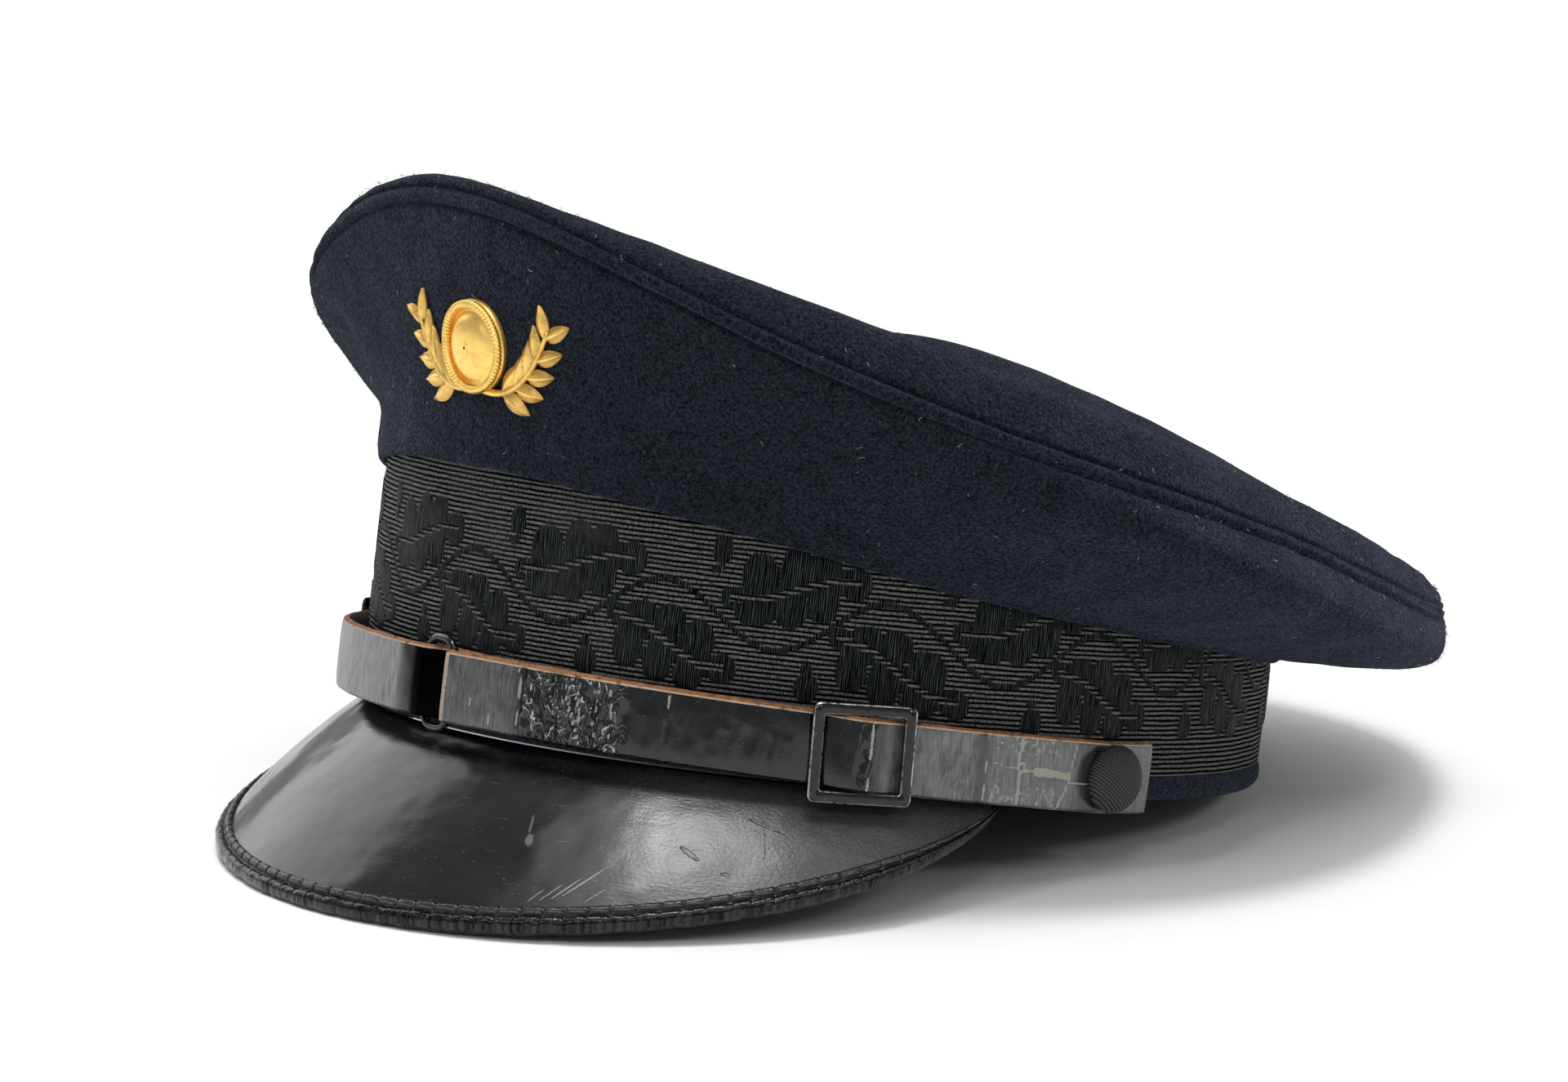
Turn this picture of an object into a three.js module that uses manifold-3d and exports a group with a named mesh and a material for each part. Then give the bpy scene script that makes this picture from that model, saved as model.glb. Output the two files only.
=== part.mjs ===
// Officer cap: wool crown, woven band, lacquered peak and leather chin strap, in millimetres, +Z up.
// The front faces -Y, and the wearer's left side is +X. The cap is worked out level, with the band's
// bottom at z = 0, and then leans back so that it lies on the peak's rim and the rear of the band.
import * as THREE from 'three';
import Module from 'manifold-3d';

const wasm = await Module();
wasm.setup();

const degrees = Math.PI / 180;
const gap = 0.3;
const around = 64;
const restTilt = 9.035 * degrees;

// Band and head opening: an oval, half its length front to back and half its width
const bandLong = 102.6;
const bandWide = 90;
const bandWall = 3;
const bandTopFront = 58;
const bandTopRear = 48;
const rollHeight = 5.4;
const rollProud = 0.8;
const woolWall = 2;

// Peak and its bound rim
const peakReach = 45.2;
const peakHalfTurn = 75 * degrees;
const peakMiddleTurn = -3 * degrees;
const peakSlopeFront = 48.1 * degrees;
const peakSlopeEnd = 42 * degrees;
const peakFullness = 0.9;
const peakEndReach = 2.4;
const peakSheet = 2.2;
const peakDome = 1.4;

// Chin strap and its fittings
const strapWidth = 14.8;
const strapSheet = 1.5;
const strapFrontHeight = 9.2;
const strapEndHeight = 5.2;
const buttonTurn = 86.5 * degrees;
const buttonRadius = 7;
const buttonDome = 4.6;
const shankRadius = 1.4;
const buckleLength = 21;
const buckleHeight = 20;
const buckleBar = 2.4;
const bucklePlate = 1.2;
const buckleOff = 6.45;
const wireRadius = 0.9;
const loopLength = 11.4;
const loopHeight = 20;
const loopCorner = 3.6;

// Crown sections every 45 degrees from the front over the left side: reach from the middle and height
const crownSections = [
  { turn: 0, edgeZ: 54.5, bellyR: 108, bellyZ: 75, seamR: 114, seamZ: 106.5, crestR: 106.8, crestZ: 110 },
  { turn: 45, edgeZ: 45.5, bellyR: 113, bellyZ: 66, seamR: 120, seamZ: 81.5, crestR: 112, crestZ: 92.5 },
  { turn: 90, edgeZ: 34.7, bellyR: 124, bellyZ: 48, seamR: 118, seamZ: 60, crestR: 108.5, crestZ: 71.2 },
  { turn: 135, edgeZ: 28, bellyR: 130, bellyZ: 30, seamR: 131, seamZ: 42, crestR: 124, crestZ: 51 },
  { turn: 180, edgeZ: 27, bellyR: 142, bellyZ: 41, seamR: 143, seamZ: 56, crestR: 133, crestZ: 62.2 },
  { turn: 225, edgeZ: 28, bellyR: 129, bellyZ: 50, seamR: 127, seamZ: 73, crestR: 122, crestZ: 85 },
  { turn: 270, edgeZ: 35, bellyR: 130, bellyZ: 55, seamR: 123, seamZ: 67, crestR: 113, crestZ: 71.2 },
  { turn: 315, edgeZ: 47, bellyR: 109.5, bellyZ: 75, seamR: 118, seamZ: 87, crestR: 108.5, crestZ: 95 },
];
// The rounded shoulder and the sagging top panel, as shares of the crest's reach
const panelShares = [0.84, 0.62, 0.36, 0];
const panelSag = 3;
const seamLevel = 2;
const shoulderLevel = 4;
const weltHalf = 1.5;
const weltProud = 0.9;
// Soft ridges and hollows of the wool: turn in degrees, level from edge 0 over seam 2, and their spread
const folds = [
  { turn: -34, level: 0.55, turnSpread: 7, levelSpread: 0.6, rise: 2.4 },
  { turn: -46, level: 0.35, turnSpread: 16, levelSpread: 0.4, rise: -7.3 },
  { turn: -44, level: 1.45, turnSpread: 14, levelSpread: 0.45, rise: 2.4 },
  { turn: 20, level: 0.3, turnSpread: 6, levelSpread: 0.45, rise: 1.2 },
  { turn: 34, level: 0.5, turnSpread: 7, levelSpread: 0.5, rise: -1.6 },
  { turn: 118, level: 0.6, turnSpread: 8, levelSpread: 0.4, rise: 1.8 },
  { turn: 132, level: 0.5, turnSpread: 7, levelSpread: 0.4, rise: -1.6 },
];

// How far the strap's inner face stands off the band along each of its two lengths, by turn in degrees
const leftStrapOff = [
  { turn: -94, off: 1.3 }, { turn: -85, off: 1.3 }, { turn: -74, off: 3 }, { turn: -66.4, off: 4 },
  { turn: -61, off: 8 }, { turn: -55.6, off: 4.1 }, { turn: -40, off: 4.4 }, { turn: -20, off: 4.4 },
  { turn: -6.5, off: 4.7 }, { turn: -3.4, off: 4.3 }, { turn: -0.7, off: 1.5 }, { turn: 4, off: 1.6 },
  { turn: 9, off: 2.4 }, { turn: 51, off: 2.4 },
];
const rightStrapOff = [
  { turn: 2, off: 5.6 }, { turn: 3.4, off: 5.5 }, { turn: 9, off: 4.4 }, { turn: 44, off: 4.3 },
  { turn: 48.5, off: 4.3 }, { turn: 54, off: 7.9 }, { turn: 59.5, off: 4.3 }, { turn: 66, off: 3.4 },
  { turn: 76, off: 1.8 }, { turn: 85, off: 1.3 }, { turn: 93, off: 1.3 },
];
const rightBuckleTurn = 54 * degrees;
const leftBuckleTurn = -61 * degrees;
const loopTurn = -1 * degrees;
const loopOff = 3.6;
const loopLean = 8 * degrees;

// Badge: a domed boss with a rope edge between two leafy sprays
const badgeLevelZ = 78;
const badgeSide = 2;
const bossRadius = 9.5;
const leafPairs = 5;
const leafLength = 9;
const leafWidth = 3.6;
const leafHeight = 1.5;

const finishes = {
  wool: { color: 0x131a30, roughness: 0.95, metalness: 0 },
  mohair: { color: 0x131416, roughness: 0.75, metalness: 0 },
  lacquer: { color: 0x0c0d10, roughness: 0.25, metalness: 0 },
  strap: { color: 0x101114, roughness: 0.3, metalness: 0 },
  black_metal: { color: 0x1a1a1c, roughness: 0.35, metalness: 0.8 },
  rep_cloth: { color: 0x0e0f12, roughness: 0.85, metalness: 0 },
  gilt: { color: 0xc89a3c, roughness: 0.35, metalness: 1 },
};

// Turns vertices and triangles into one closed body with its faces pointing out
function closedGeometry(vertices, triangles) {
  const places = new Map();
  const kept = [];
  const same = vertices.map((v) => {
    const key = [v.x, v.y, v.z].map((n) => Math.round(n * 1e4)).join();
    if (!places.has(key)) {
      places.set(key, kept.length);
      kept.push(v);
    }
    return places.get(key);
  });
  const faces = triangles
    .map((face) => face.map((i) => same[i]))
    .filter(([a, b, c]) => a !== b && b !== c && c !== a);
  const volume = faces.reduce((sum, [a, b, c]) => {
    const across = new THREE.Vector3().crossVectors(kept[b], kept[c]);
    return sum + kept[a].dot(across);
  }, 0);
  const outward = volume > 0 ? faces : faces.map(([a, b, c]) => [a, c, b]);
  const geometry = new THREE.BufferGeometry();
  geometry.setAttribute('position', new THREE.Float32BufferAttribute(kept.flatMap((v) => v.toArray()), 3));
  geometry.setIndex(outward.flat());
  return geometry;
}

// Sweeps a closed outline along stations: outline(station) gives its points, in the same order each time
function swept(stations, outline, closed) {
  const rings = stations.map(outline);
  const size = rings[0].length;
  const vertices = rings.flat();
  const triangles = [];
  const spans = closed ? rings.length : rings.length - 1;
  for (let i = 0; i < spans; i += 1) {
    const here = i * size;
    const next = ((i + 1) % rings.length) * size;
    for (let j = 0; j < size; j += 1) {
      const k = (j + 1) % size;
      triangles.push([here + j, here + k, next + k], [here + j, next + k, next + j]);
    }
  }
  if (!closed) {
    const last = (rings.length - 1) * size;
    for (const [a, b, c] of endFaces(rings[0])) triangles.push([a, c, b]);
    for (const [a, b, c] of endFaces(rings[rings.length - 1])) triangles.push([last + a, last + b, last + c]);
  }
  return closedGeometry(vertices, triangles);
}

// Triangles of a flat outline, with the same turning sense as its points
function endFaces(ring) {
  const normal = new THREE.Vector3();
  ring.forEach((p, i) => normal.add(new THREE.Vector3().crossVectors(p, ring[(i + 1) % ring.length])));
  normal.normalize();
  const side = new THREE.Vector3().subVectors(ring[1], ring[0]).normalize();
  const up = new THREE.Vector3().crossVectors(normal, side);
  const flat = ring.map((p) => new THREE.Vector2(p.dot(side), p.dot(up)));
  return THREE.ShapeUtils.triangulateShape(flat, []);
}

function solidOf(geometry) {
  const source = geometry.index ? geometry : weldedGeometry(geometry);
  const vertProperties = new Float32Array(source.attributes.position.array);
  const triVerts = new Uint32Array(source.index.array);
  return new wasm.Manifold(new wasm.Mesh({ numProp: 3, vertProperties, triVerts }));
}

// Welds a stock geometry, so that it has shared corners and no seam
function weldedGeometry(geometry) {
  const position = geometry.attributes.position;
  const vertices = Array.from({ length: position.count }, (_, i) =>
    new THREE.Vector3().fromBufferAttribute(position, i));
  const order = geometry.index ? Array.from(geometry.index.array) : vertices.map((_, i) => i);
  const triangles = [];
  for (let i = 0; i < order.length; i += 3) triangles.push(order.slice(i, i + 3));
  return closedGeometry(vertices, triangles);
}

function geometryOf(solid) {
  const mesh = solid.getMesh();
  const geometry = new THREE.BufferGeometry();
  geometry.setAttribute('position', new THREE.Float32BufferAttribute(mesh.vertProperties, 3));
  geometry.setIndex(Array.from(mesh.triVerts));
  return geometry;
}

function steps(from, to, count) {
  return Array.from({ length: count + 1 }, (_, i) => from + ((to - from) * i) / count);
}

const fullTurn = steps(0, 2 * Math.PI, around).slice(0, -1);

// A value given at eight even turns, as a smooth closed curve
function periodic(values) {
  const count = values.length;
  const waves = [];
  for (let k = 0; k <= count / 2; k += 1) {
    const share = k === 0 || k === count / 2 ? 1 / count : 2 / count;
    const turnOf = (j) => (2 * Math.PI * j * k) / count;
    const cosine = share * values.reduce((sum, v, j) => sum + v * Math.cos(turnOf(j)), 0);
    const sine = share * values.reduce((sum, v, j) => sum + v * Math.sin(turnOf(j)), 0);
    waves.push({ k, cosine, sine });
  }
  return (turn, share = 1) =>
    waves.reduce((sum, { k, cosine, sine }) =>
      sum + share ** k * (cosine * Math.cos(k * turn) + sine * Math.sin(k * turn)), 0);
}

// A smooth value through table rows
function catmull(values, at) {
  const i = Math.min(Math.max(Math.floor(at), 0), values.length - 2);
  const f = at - i;
  const [p0, p1, p2, p3] = [values[Math.max(i - 1, 0)], values[i], values[i + 1],
    values[Math.min(i + 2, values.length - 1)]];
  return 0.5 * (2 * p1 + (p2 - p0) * f + (2 * p0 - 5 * p1 + 4 * p2 - p3) * f * f
    + (3 * p1 - p0 - 3 * p2 + p3) * f * f * f);
}

function ovalNormal(turn) {
  return new THREE.Vector3(Math.sin(turn) / bandWide, -Math.cos(turn) / bandLong, 0).normalize();
}

// A point of the band's oval, moved out by a distance
function oval(turn, out, z) {
  const foot = new THREE.Vector3(bandWide * Math.sin(turn), -bandLong * Math.cos(turn), z);
  return foot.addScaledVector(ovalNormal(turn), out);
}

function ovalReach(turn) {
  return (bandLong * bandWide) / Math.hypot(bandLong * Math.sin(turn), bandWide * Math.cos(turn));
}

const column = (name) => periodic(crownSections.map((row) => row[name]));
const edgeHeight = column('edgeZ');
const bellyReach = column('bellyR');
const bellyHeight = column('bellyZ');
const seamReach = column('seamR');
const seamHeight = column('seamZ');
const crestReach = column('crestR');
const crestHeight = column('crestZ');

// Outer face of the crown: level 0 is the wool's lower edge, 2 the seam, 3 the crest, the last the middle
function crownPoint(turn, level) {
  const edgeReach = ovalReach(turn) + woolWall + gap;
  const reaches = [edgeReach, bellyReach(turn), seamReach(turn), crestReach(turn)];
  const heights = [edgeHeight(turn), bellyHeight(turn), seamHeight(turn), crestHeight(turn)];
  for (const share of panelShares) {
    reaches.push(crestReach(turn) * share);
    heights.push(crestHeight(turn, share) - panelSag * (1 - share * share));
  }
  const folded = catmull(reaches, level) + foldRise(turn, level);
  const reach = level < seamLevel ? Math.max(folded, edgeReach) : folded;
  return new THREE.Vector3(reach * Math.sin(turn), -reach * Math.cos(turn), catmull(heights, level));
}

function foldRise(turn, level) {
  const away = (a) => Math.atan2(Math.sin(turn - a * degrees), Math.cos(turn - a * degrees)) / degrees;
  const free = Math.min(level / 0.4, 1) ** 2;
  return folds.reduce((sum, f) => sum + f.rise * free
    * Math.exp(-((away(f.turn) / f.turnSpread) ** 2) - ((level - f.level) / f.levelSpread) ** 2), 0);
}

function crownNormal(turn, level) {
  const small = 0.01;
  const along = crownPoint(turn + small, level).sub(crownPoint(turn - small, level));
  const up = crownPoint(turn, level + small).sub(crownPoint(turn, Math.max(level - small, 0)));
  return new THREE.Vector3().crossVectors(along, up).normalize();
}

const middleLevel = 3 + panelShares.length;

// Inner face: straight in from the lower edge, and square to the cloth elsewhere
function crownInner(turn, level) {
  const square = level >= middleLevel ? new THREE.Vector3(0, 0, 1) : crownNormal(turn, level);
  const flatOut = new THREE.Vector3(Math.sin(turn), -Math.cos(turn), 0);
  const direction = flatOut.lerp(square, Math.min(level / 0.5, 1)).normalize();
  return crownPoint(turn, level).addScaledVector(direction, -woolWall);
}

// A wall of cloth between two edges, each a function of the turn, through levels that share the way
function crownWall(start, end, shares, turns = fullTurn) {
  return swept(turns, (turn) => {
    const levels = shares.map((share) => start(turn) + (end(turn) - start(turn)) * share);
    return [
      ...levels.map((level) => crownPoint(turn, level)),
      ...levels.reverse().map((level) => crownInner(turn, level)),
    ];
  }, turns === fullTurn);
}

// The level that lies a distance above the seam, or below it where the distance is negative
function besideSeam(turn, distance) {
  const seam = crownPoint(turn, seamLevel);
  const side = Math.sign(distance);
  let [near, far] = [0, 0.9];
  for (let i = 0; i < 30; i += 1) {
    const middle = (near + far) / 2;
    if (crownPoint(turn, seamLevel + side * middle).distanceTo(seam) < Math.abs(distance)) near = middle;
    else far = middle;
  }
  return seamLevel + side * near;
}

// One quarter of the crown's side, from a turn on, up to the rib
function crownSide(quarter) {
  const apart = gap / 2 / bandLong;
  const first = (quarter * Math.PI) / 2;
  const end = (turn) => besideSeam(turn, -weltHalf - gap);
  return crownWall(() => 0, end, steps(0, 1, 8), steps(first + apart, first + Math.PI / 2 - apart, around / 4));
}

// The rounded shoulder above the rib, up to where the flatter top panel starts
function crownShoulder() {
  const start = (turn) => besideSeam(turn, weltHalf + gap);
  return crownWall(start, () => shoulderLevel, [0, 0.2, 0.4, 0.65, 1]);
}

function crownTop() {
  const start = shoulderLevel + 0.02;
  return crownWall(() => start, () => middleLevel, [0, 0.25, 0.6, 1]);
}

// The raised rib that fills the seam between the side and the top panel
function crownWelt() {
  const outline = [
    { across: -weltHalf + 0.7, out: -1.5 }, { across: -weltHalf, out: 0.3 }, { across: 0, out: weltProud },
    { across: weltHalf, out: 0.3 }, { across: weltHalf - 0.7, out: -1.5 },
  ];
  return swept(fullTurn, (turn) => {
    const small = 0.02;
    const up = crownPoint(turn, seamLevel + small).sub(crownPoint(turn, seamLevel - small)).normalize();
    const normal = crownNormal(turn, seamLevel);
    return outline.map(({ across, out }) =>
      crownPoint(turn, seamLevel).addScaledVector(up, across).addScaledVector(normal, out));
  }, true);
}

// The stiff band, a little higher at the front, where it holds the crown up
function band() {
  const foot = rollHeight + gap;
  return swept(fullTurn, (turn) => {
    const top = (bandTopFront + bandTopRear) / 2 + ((bandTopFront - bandTopRear) / 2) * Math.cos(turn);
    return [[0, foot], [0, top], [-bandWall, top], [-bandWall, foot]].map(([out, z]) => oval(turn, out, z));
  }, true);
}

function baseRoll() {
  const round = 1.2;
  const outline = [
    [-bandWall, 0], [rollProud - round, 0], [rollProud, round], [rollProud, rollHeight - round],
    [rollProud - round, rollHeight], [-bandWall, rollHeight],
  ];
  return swept(fullTurn, (turn) => outline.map(([out, z]) => oval(turn, out, z)), true);
}

// How far a turn is along the peak: 0 in its middle, and -1 and 1 at its ends
function peakShare(turn) {
  return (turn - peakMiddleTurn) / peakHalfTurn;
}

// Width of the peak from the band to the rim of its sheet
function peakWidth(turn) {
  const share = peakShare(turn);
  const fullness = Math.max(1 - share * share, 0) ** peakFullness;
  return peakEndReach * share * share + peakReach * fullness;
}

// A point of the peak: run is its distance from the band, and over is how far it lies off the top face
function peakPoint(turn, run, over) {
  const share = peakShare(turn);
  const slope = peakSlopeFront + (peakSlopeEnd - peakSlopeFront) * share * share;
  const width = peakWidth(turn);
  const along = Math.min(run / width, 1);
  const lift = over + peakDome * 4 * along * (1 - along) * (width / peakReach);
  const out = run * Math.cos(slope) + lift * Math.sin(slope) - 1;
  const z = -run * Math.sin(slope) + lift * Math.cos(slope) - gap;
  return oval(turn, out, z);
}

const peakTurns = steps(peakMiddleTurn - peakHalfTurn, peakMiddleTurn + peakHalfTurn, 40);

function peak() {
  const across = [0, 0.2, 0.4, 0.6, 0.8, 1];
  return swept(peakTurns, (turn) => [
    ...across.map((along) => peakPoint(turn, along * peakWidth(turn), 0)),
    ...[...across].reverse().map((along) => peakPoint(turn, along * peakWidth(turn), -peakSheet)),
  ], false);
}

// The folded binding round the rim: an inner bead, a groove and the thick outer roll
function peakBinding() {
  const top = gap;
  const bottom = -peakSheet - gap;
  const outline = [
    { past: -7.6, over: top }, { past: -7.2, over: top + 0.9 }, { past: -4.6, over: top + 1 },
    { past: -4.1, over: top + 0.6 }, { past: -2.6, over: top + 1.3 }, { past: 0.6, over: top + 1 },
    { past: 1.9, over: -0.9 }, { past: 1.2, over: bottom - 0.6 }, { past: -2.4, over: bottom - 1 },
    { past: -7.4, over: bottom - 0.7 }, { past: -7.6, over: bottom }, { past: gap, over: bottom },
    { past: gap, over: top },
  ];
  return swept(peakTurns, (turn) => outline.map(({ past, over }) => {
    const share = bindingShare(turn);
    const beyond = past < gap ? past * share : gap + (past - gap) * share;
    const face = Math.min(Math.max(over, bottom), top);
    return peakPoint(turn, peakWidth(turn) + beyond, face + (over - face) * share);
  }), false);
}

// Near its ends the peak is narrower than the binding, which tapers with it
function bindingShare(turn) {
  const share = peakShare(turn);
  return 0.16 + 0.84 * Math.min((1 - share * share) * 2.6, 1);
}

function tableValue(rows, turn) {
  const t = turn / degrees;
  const next = rows.findIndex((row) => row.turn >= t);
  if (next <= 0) return rows[next === 0 ? 0 : rows.length - 1].off;
  const [a, b] = [rows[next - 1], rows[next]];
  const f = (t - a.turn) / (b.turn - a.turn);
  return a.off + (b.off - a.off) * f * f * (3 - 2 * f);
}

function strapHeight(turn) {
  return strapEndHeight + (strapFrontHeight - strapEndHeight) * Math.cos((turn * Math.PI) / 2 / buttonTurn);
}

// Stations along a strap: at least three between two rows of its table, and never far apart
function strapTurns(rows) {
  const widest = 3.5;
  return rows.slice(1).reduce((turns, row, i) => {
    const count = Math.max(3, Math.ceil((row.turn - rows[i].turn) / widest));
    return [...turns, ...steps(rows[i].turn, row.turn, count).slice(1)];
  }, [rows[0].turn]).map((turn) => turn * degrees);
}

function strapPiece(rows) {
  return swept(strapTurns(rows), (turn) => {
    const off = tableValue(rows, turn);
    const middle = strapHeight(Math.min(Math.max(turn, -buttonTurn), buttonTurn));
    const [low, high] = [middle - strapWidth / 2, middle + strapWidth / 2];
    return [[off, low], [off + strapSheet, low], [off + strapSheet, high], [off, high]]
      .map(([out, z]) => oval(turn, out, z));
  }, false);
}

// Places a flat piece, drawn with x along the band, y up and z outward, at a turn and a distance off it
function onBand(geometry, turn, off, lean = 0) {
  const normal = ovalNormal(turn);
  const up = new THREE.Vector3(0, 0, 1);
  const side = new THREE.Vector3().crossVectors(up, normal);
  const place = new THREE.Matrix4().makeBasis(side, up, normal);
  place.setPosition(oval(turn, off, strapHeight(turn)));
  const leaned = new THREE.Matrix4().makeRotationY(lean);
  return geometry.applyMatrix4(place.multiply(leaned));
}

function roundedOutline(length, height, corner, path) {
  const [x, y] = [length / 2, height / 2];
  path.moveTo(-x + corner, -y);
  path.lineTo(x - corner, -y);
  path.absarc(x - corner, -y + corner, corner, -Math.PI / 2, 0);
  path.lineTo(x, y - corner);
  path.absarc(x - corner, y - corner, corner, 0, Math.PI / 2);
  path.lineTo(-x + corner, y);
  path.absarc(-x + corner, y - corner, corner, Math.PI / 2, Math.PI);
  path.lineTo(-x, -y + corner);
  path.absarc(-x + corner, -y + corner, corner, Math.PI, 1.5 * Math.PI);
  return path;
}

// Slide buckle: a flat frame with a thinner bar up its middle
function buckle(turn) {
  const shape = roundedOutline(buckleLength, buckleHeight, 1.2, new THREE.Shape());
  const window = roundedOutline(buckleLength - 2 * buckleBar, buckleHeight - 2 * buckleBar, 0.5,
    new THREE.Path());
  shape.holes.push(window);
  const settings = { depth: bucklePlate, bevelEnabled: false, curveSegments: 2 };
  const frame = new THREE.ExtrudeGeometry(shape, settings);
  const bar = new THREE.BoxGeometry(2, buckleHeight - buckleBar, 0.7).translate(0, 0, 0.4);
  const joined = solidOf(weldedGeometry(frame)).add(solidOf(weldedGeometry(bar)));
  return onBand(geometryOf(joined), turn, buckleOff);
}

// Wire loop: a bent ring with straight sides and round corners
function wireLoop() {
  const wide = loopLength / 2 - wireRadius - loopCorner;
  const high = loopHeight / 2 - wireRadius - loopCorner;
  const corners = [[wide, high], [-wide, high], [-wide, -high], [wide, -high]];
  const stations = corners.flatMap(([x, y], i) =>
    steps((i * Math.PI) / 2, ((i + 1) * Math.PI) / 2, 3).map((bend) => ({ x, y, bend })));
  const round = steps(0, 2 * Math.PI, 6).slice(0, -1);
  const ring = swept(stations, ({ x, y, bend }) => round.map((a) => {
    const radius = loopCorner + wireRadius * Math.cos(a);
    const height = wireRadius * Math.sin(a);
    return new THREE.Vector3(x + radius * Math.cos(bend), y + radius * Math.sin(bend), height);
  }), true);
  return onBand(ring, loopTurn, loopOff, -loopLean);
}

// Cloth-covered domed button on a plain shank, turned about its own axis and set square to the band
function button(turn) {
  const shank = strapSheet + 2 * gap + 0.1;
  const profile = [
    [0, -shank], [shankRadius, -shank], [shankRadius, 0], [buttonRadius - 0.4, 0], [buttonRadius, 0.8],
    [buttonRadius - 0.7, 2.6], [buttonRadius - 2.8, 4], [0, buttonDome],
  ].map(([radius, height]) => new THREE.Vector2(radius, height));
  const turned = weldedGeometry(new THREE.LatheGeometry(profile, 20));
  turned.rotateX(Math.PI / 2);
  return onBand(turned, turn, buttonSeat());
}

function buttonSeat() {
  return rightStrapOff[rightStrapOff.length - 1].off + strapSheet + gap;
}

// A strap with the hole that its button's shank passes through
function punchedStrap(rows, turn) {
  const hole = new THREE.CylinderGeometry(shankRadius + gap, shankRadius + gap, 6, 12).rotateX(Math.PI / 2);
  const cutter = onBand(weldedGeometry(hole), turn, buttonSeat());
  return geometryOf(solidOf(strapPiece(rows)).subtract(solidOf(cutter)));
}

// One leaf, pointed at both ends and ridged along its middle, lying flat and pointing along +X
function leaf(length, width) {
  const edge = [[0, 0], [0.3, -0.5], [0.65, -0.42], [1, 0], [0.65, 0.42], [0.3, 0.5]];
  const flat = edge.map(([x, y]) => new THREE.Vector3(x * length, y * width, 0));
  const ridge = [[0.12, 0.5], [0.45, 1], [0.85, 0.6]];
  const top = ridge.map(([x, z]) => new THREE.Vector3(x * length, 0, z * leafHeight));
  const faces = [
    [0, 6, 1], [1, 6, 7], [1, 7, 2], [2, 7, 8], [2, 8, 3], [3, 8, 4], [4, 8, 7], [4, 7, 5],
    [5, 7, 6], [5, 6, 0], [0, 1, 5], [1, 2, 5], [2, 4, 5], [2, 3, 4],
  ];
  return closedGeometry([...flat, ...top], faces);
}

// The badge laid flat: a domed boss with a raised edge, and a leafy spray to each side
function flatBadge() {
  const profile = [
    [0, 0], [bossRadius, 0], [bossRadius, 1.6], [bossRadius - 1, 2.3], [bossRadius - 2, 1.6],
    [5, 2.6], [0, 3.4],
  ].map(([radius, height]) => new THREE.Vector2(radius, height));
  let whole = solidOf(weldedGeometry(new THREE.LatheGeometry(profile, 20)).rotateX(Math.PI / 2));
  for (const side of [-1, 1]) {
    const stem = new THREE.QuadraticBezierCurve3(new THREE.Vector3(side * 1, -8, 0),
      new THREE.Vector3(side * 14, -12, 0), new THREE.Vector3(side * 21.5, 5, 0));
    whole = whole.add(solidOf(stemBar(stem)));
    for (const at of steps(0.3, 0.95, leafPairs - 1)) {
      const along = stem.getTangent(at);
      const angle = Math.atan2(along.y, along.x);
      for (const spread of [-38 * degrees, 38 * degrees]) {
        const size = 1 - 0.25 * at;
        const one = leaf(leafLength * size, leafWidth * size);
        one.rotateZ(angle + spread);
        const foot = stem.getPoint(at);
        one.translate(foot.x, foot.y, 0);
        whole = whole.add(solidOf(one));
      }
    }
  }
  return geometryOf(whole);
}

function stemBar(stem) {
  return swept(steps(0, 1, 8), (at) => {
    const foot = stem.getPoint(at);
    const along = stem.getTangent(at);
    const side = new THREE.Vector3(-along.y, along.x, 0);
    return [[-0.7, 0], [0.7, 0], [0.4, 0.9], [-0.4, 0.9]].map(([across, height]) =>
      foot.clone().addScaledVector(side, across).setZ(height));
  }, false);
}

// The level at which the crown's outer face has a height
function levelAt(turn, height) {
  let [low, high] = [0, seamLevel];
  for (let i = 0; i < 30; i += 1) {
    const middle = (low + high) / 2;
    if (crownPoint(turn, middle).z < height) low = middle;
    else high = middle;
  }
  return low;
}

// The flat badge bent to the crown's front
function badge() {
  const geometry = flatBadge();
  const position = geometry.attributes.position;
  for (let i = 0; i < position.count; i += 1) {
    const [x, y, height] = [position.getX(i), position.getY(i), position.getZ(i)];
    const turn = (x + badgeSide) / crownPoint(0, 1).length() * 1.2;
    const level = levelAt(turn, badgeLevelZ + y);
    const place = crownPoint(turn, level).addScaledVector(crownNormal(turn, level), height + gap);
    position.setXYZ(i, place.x, place.y, place.z);
  }
  return geometry;
}

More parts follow.
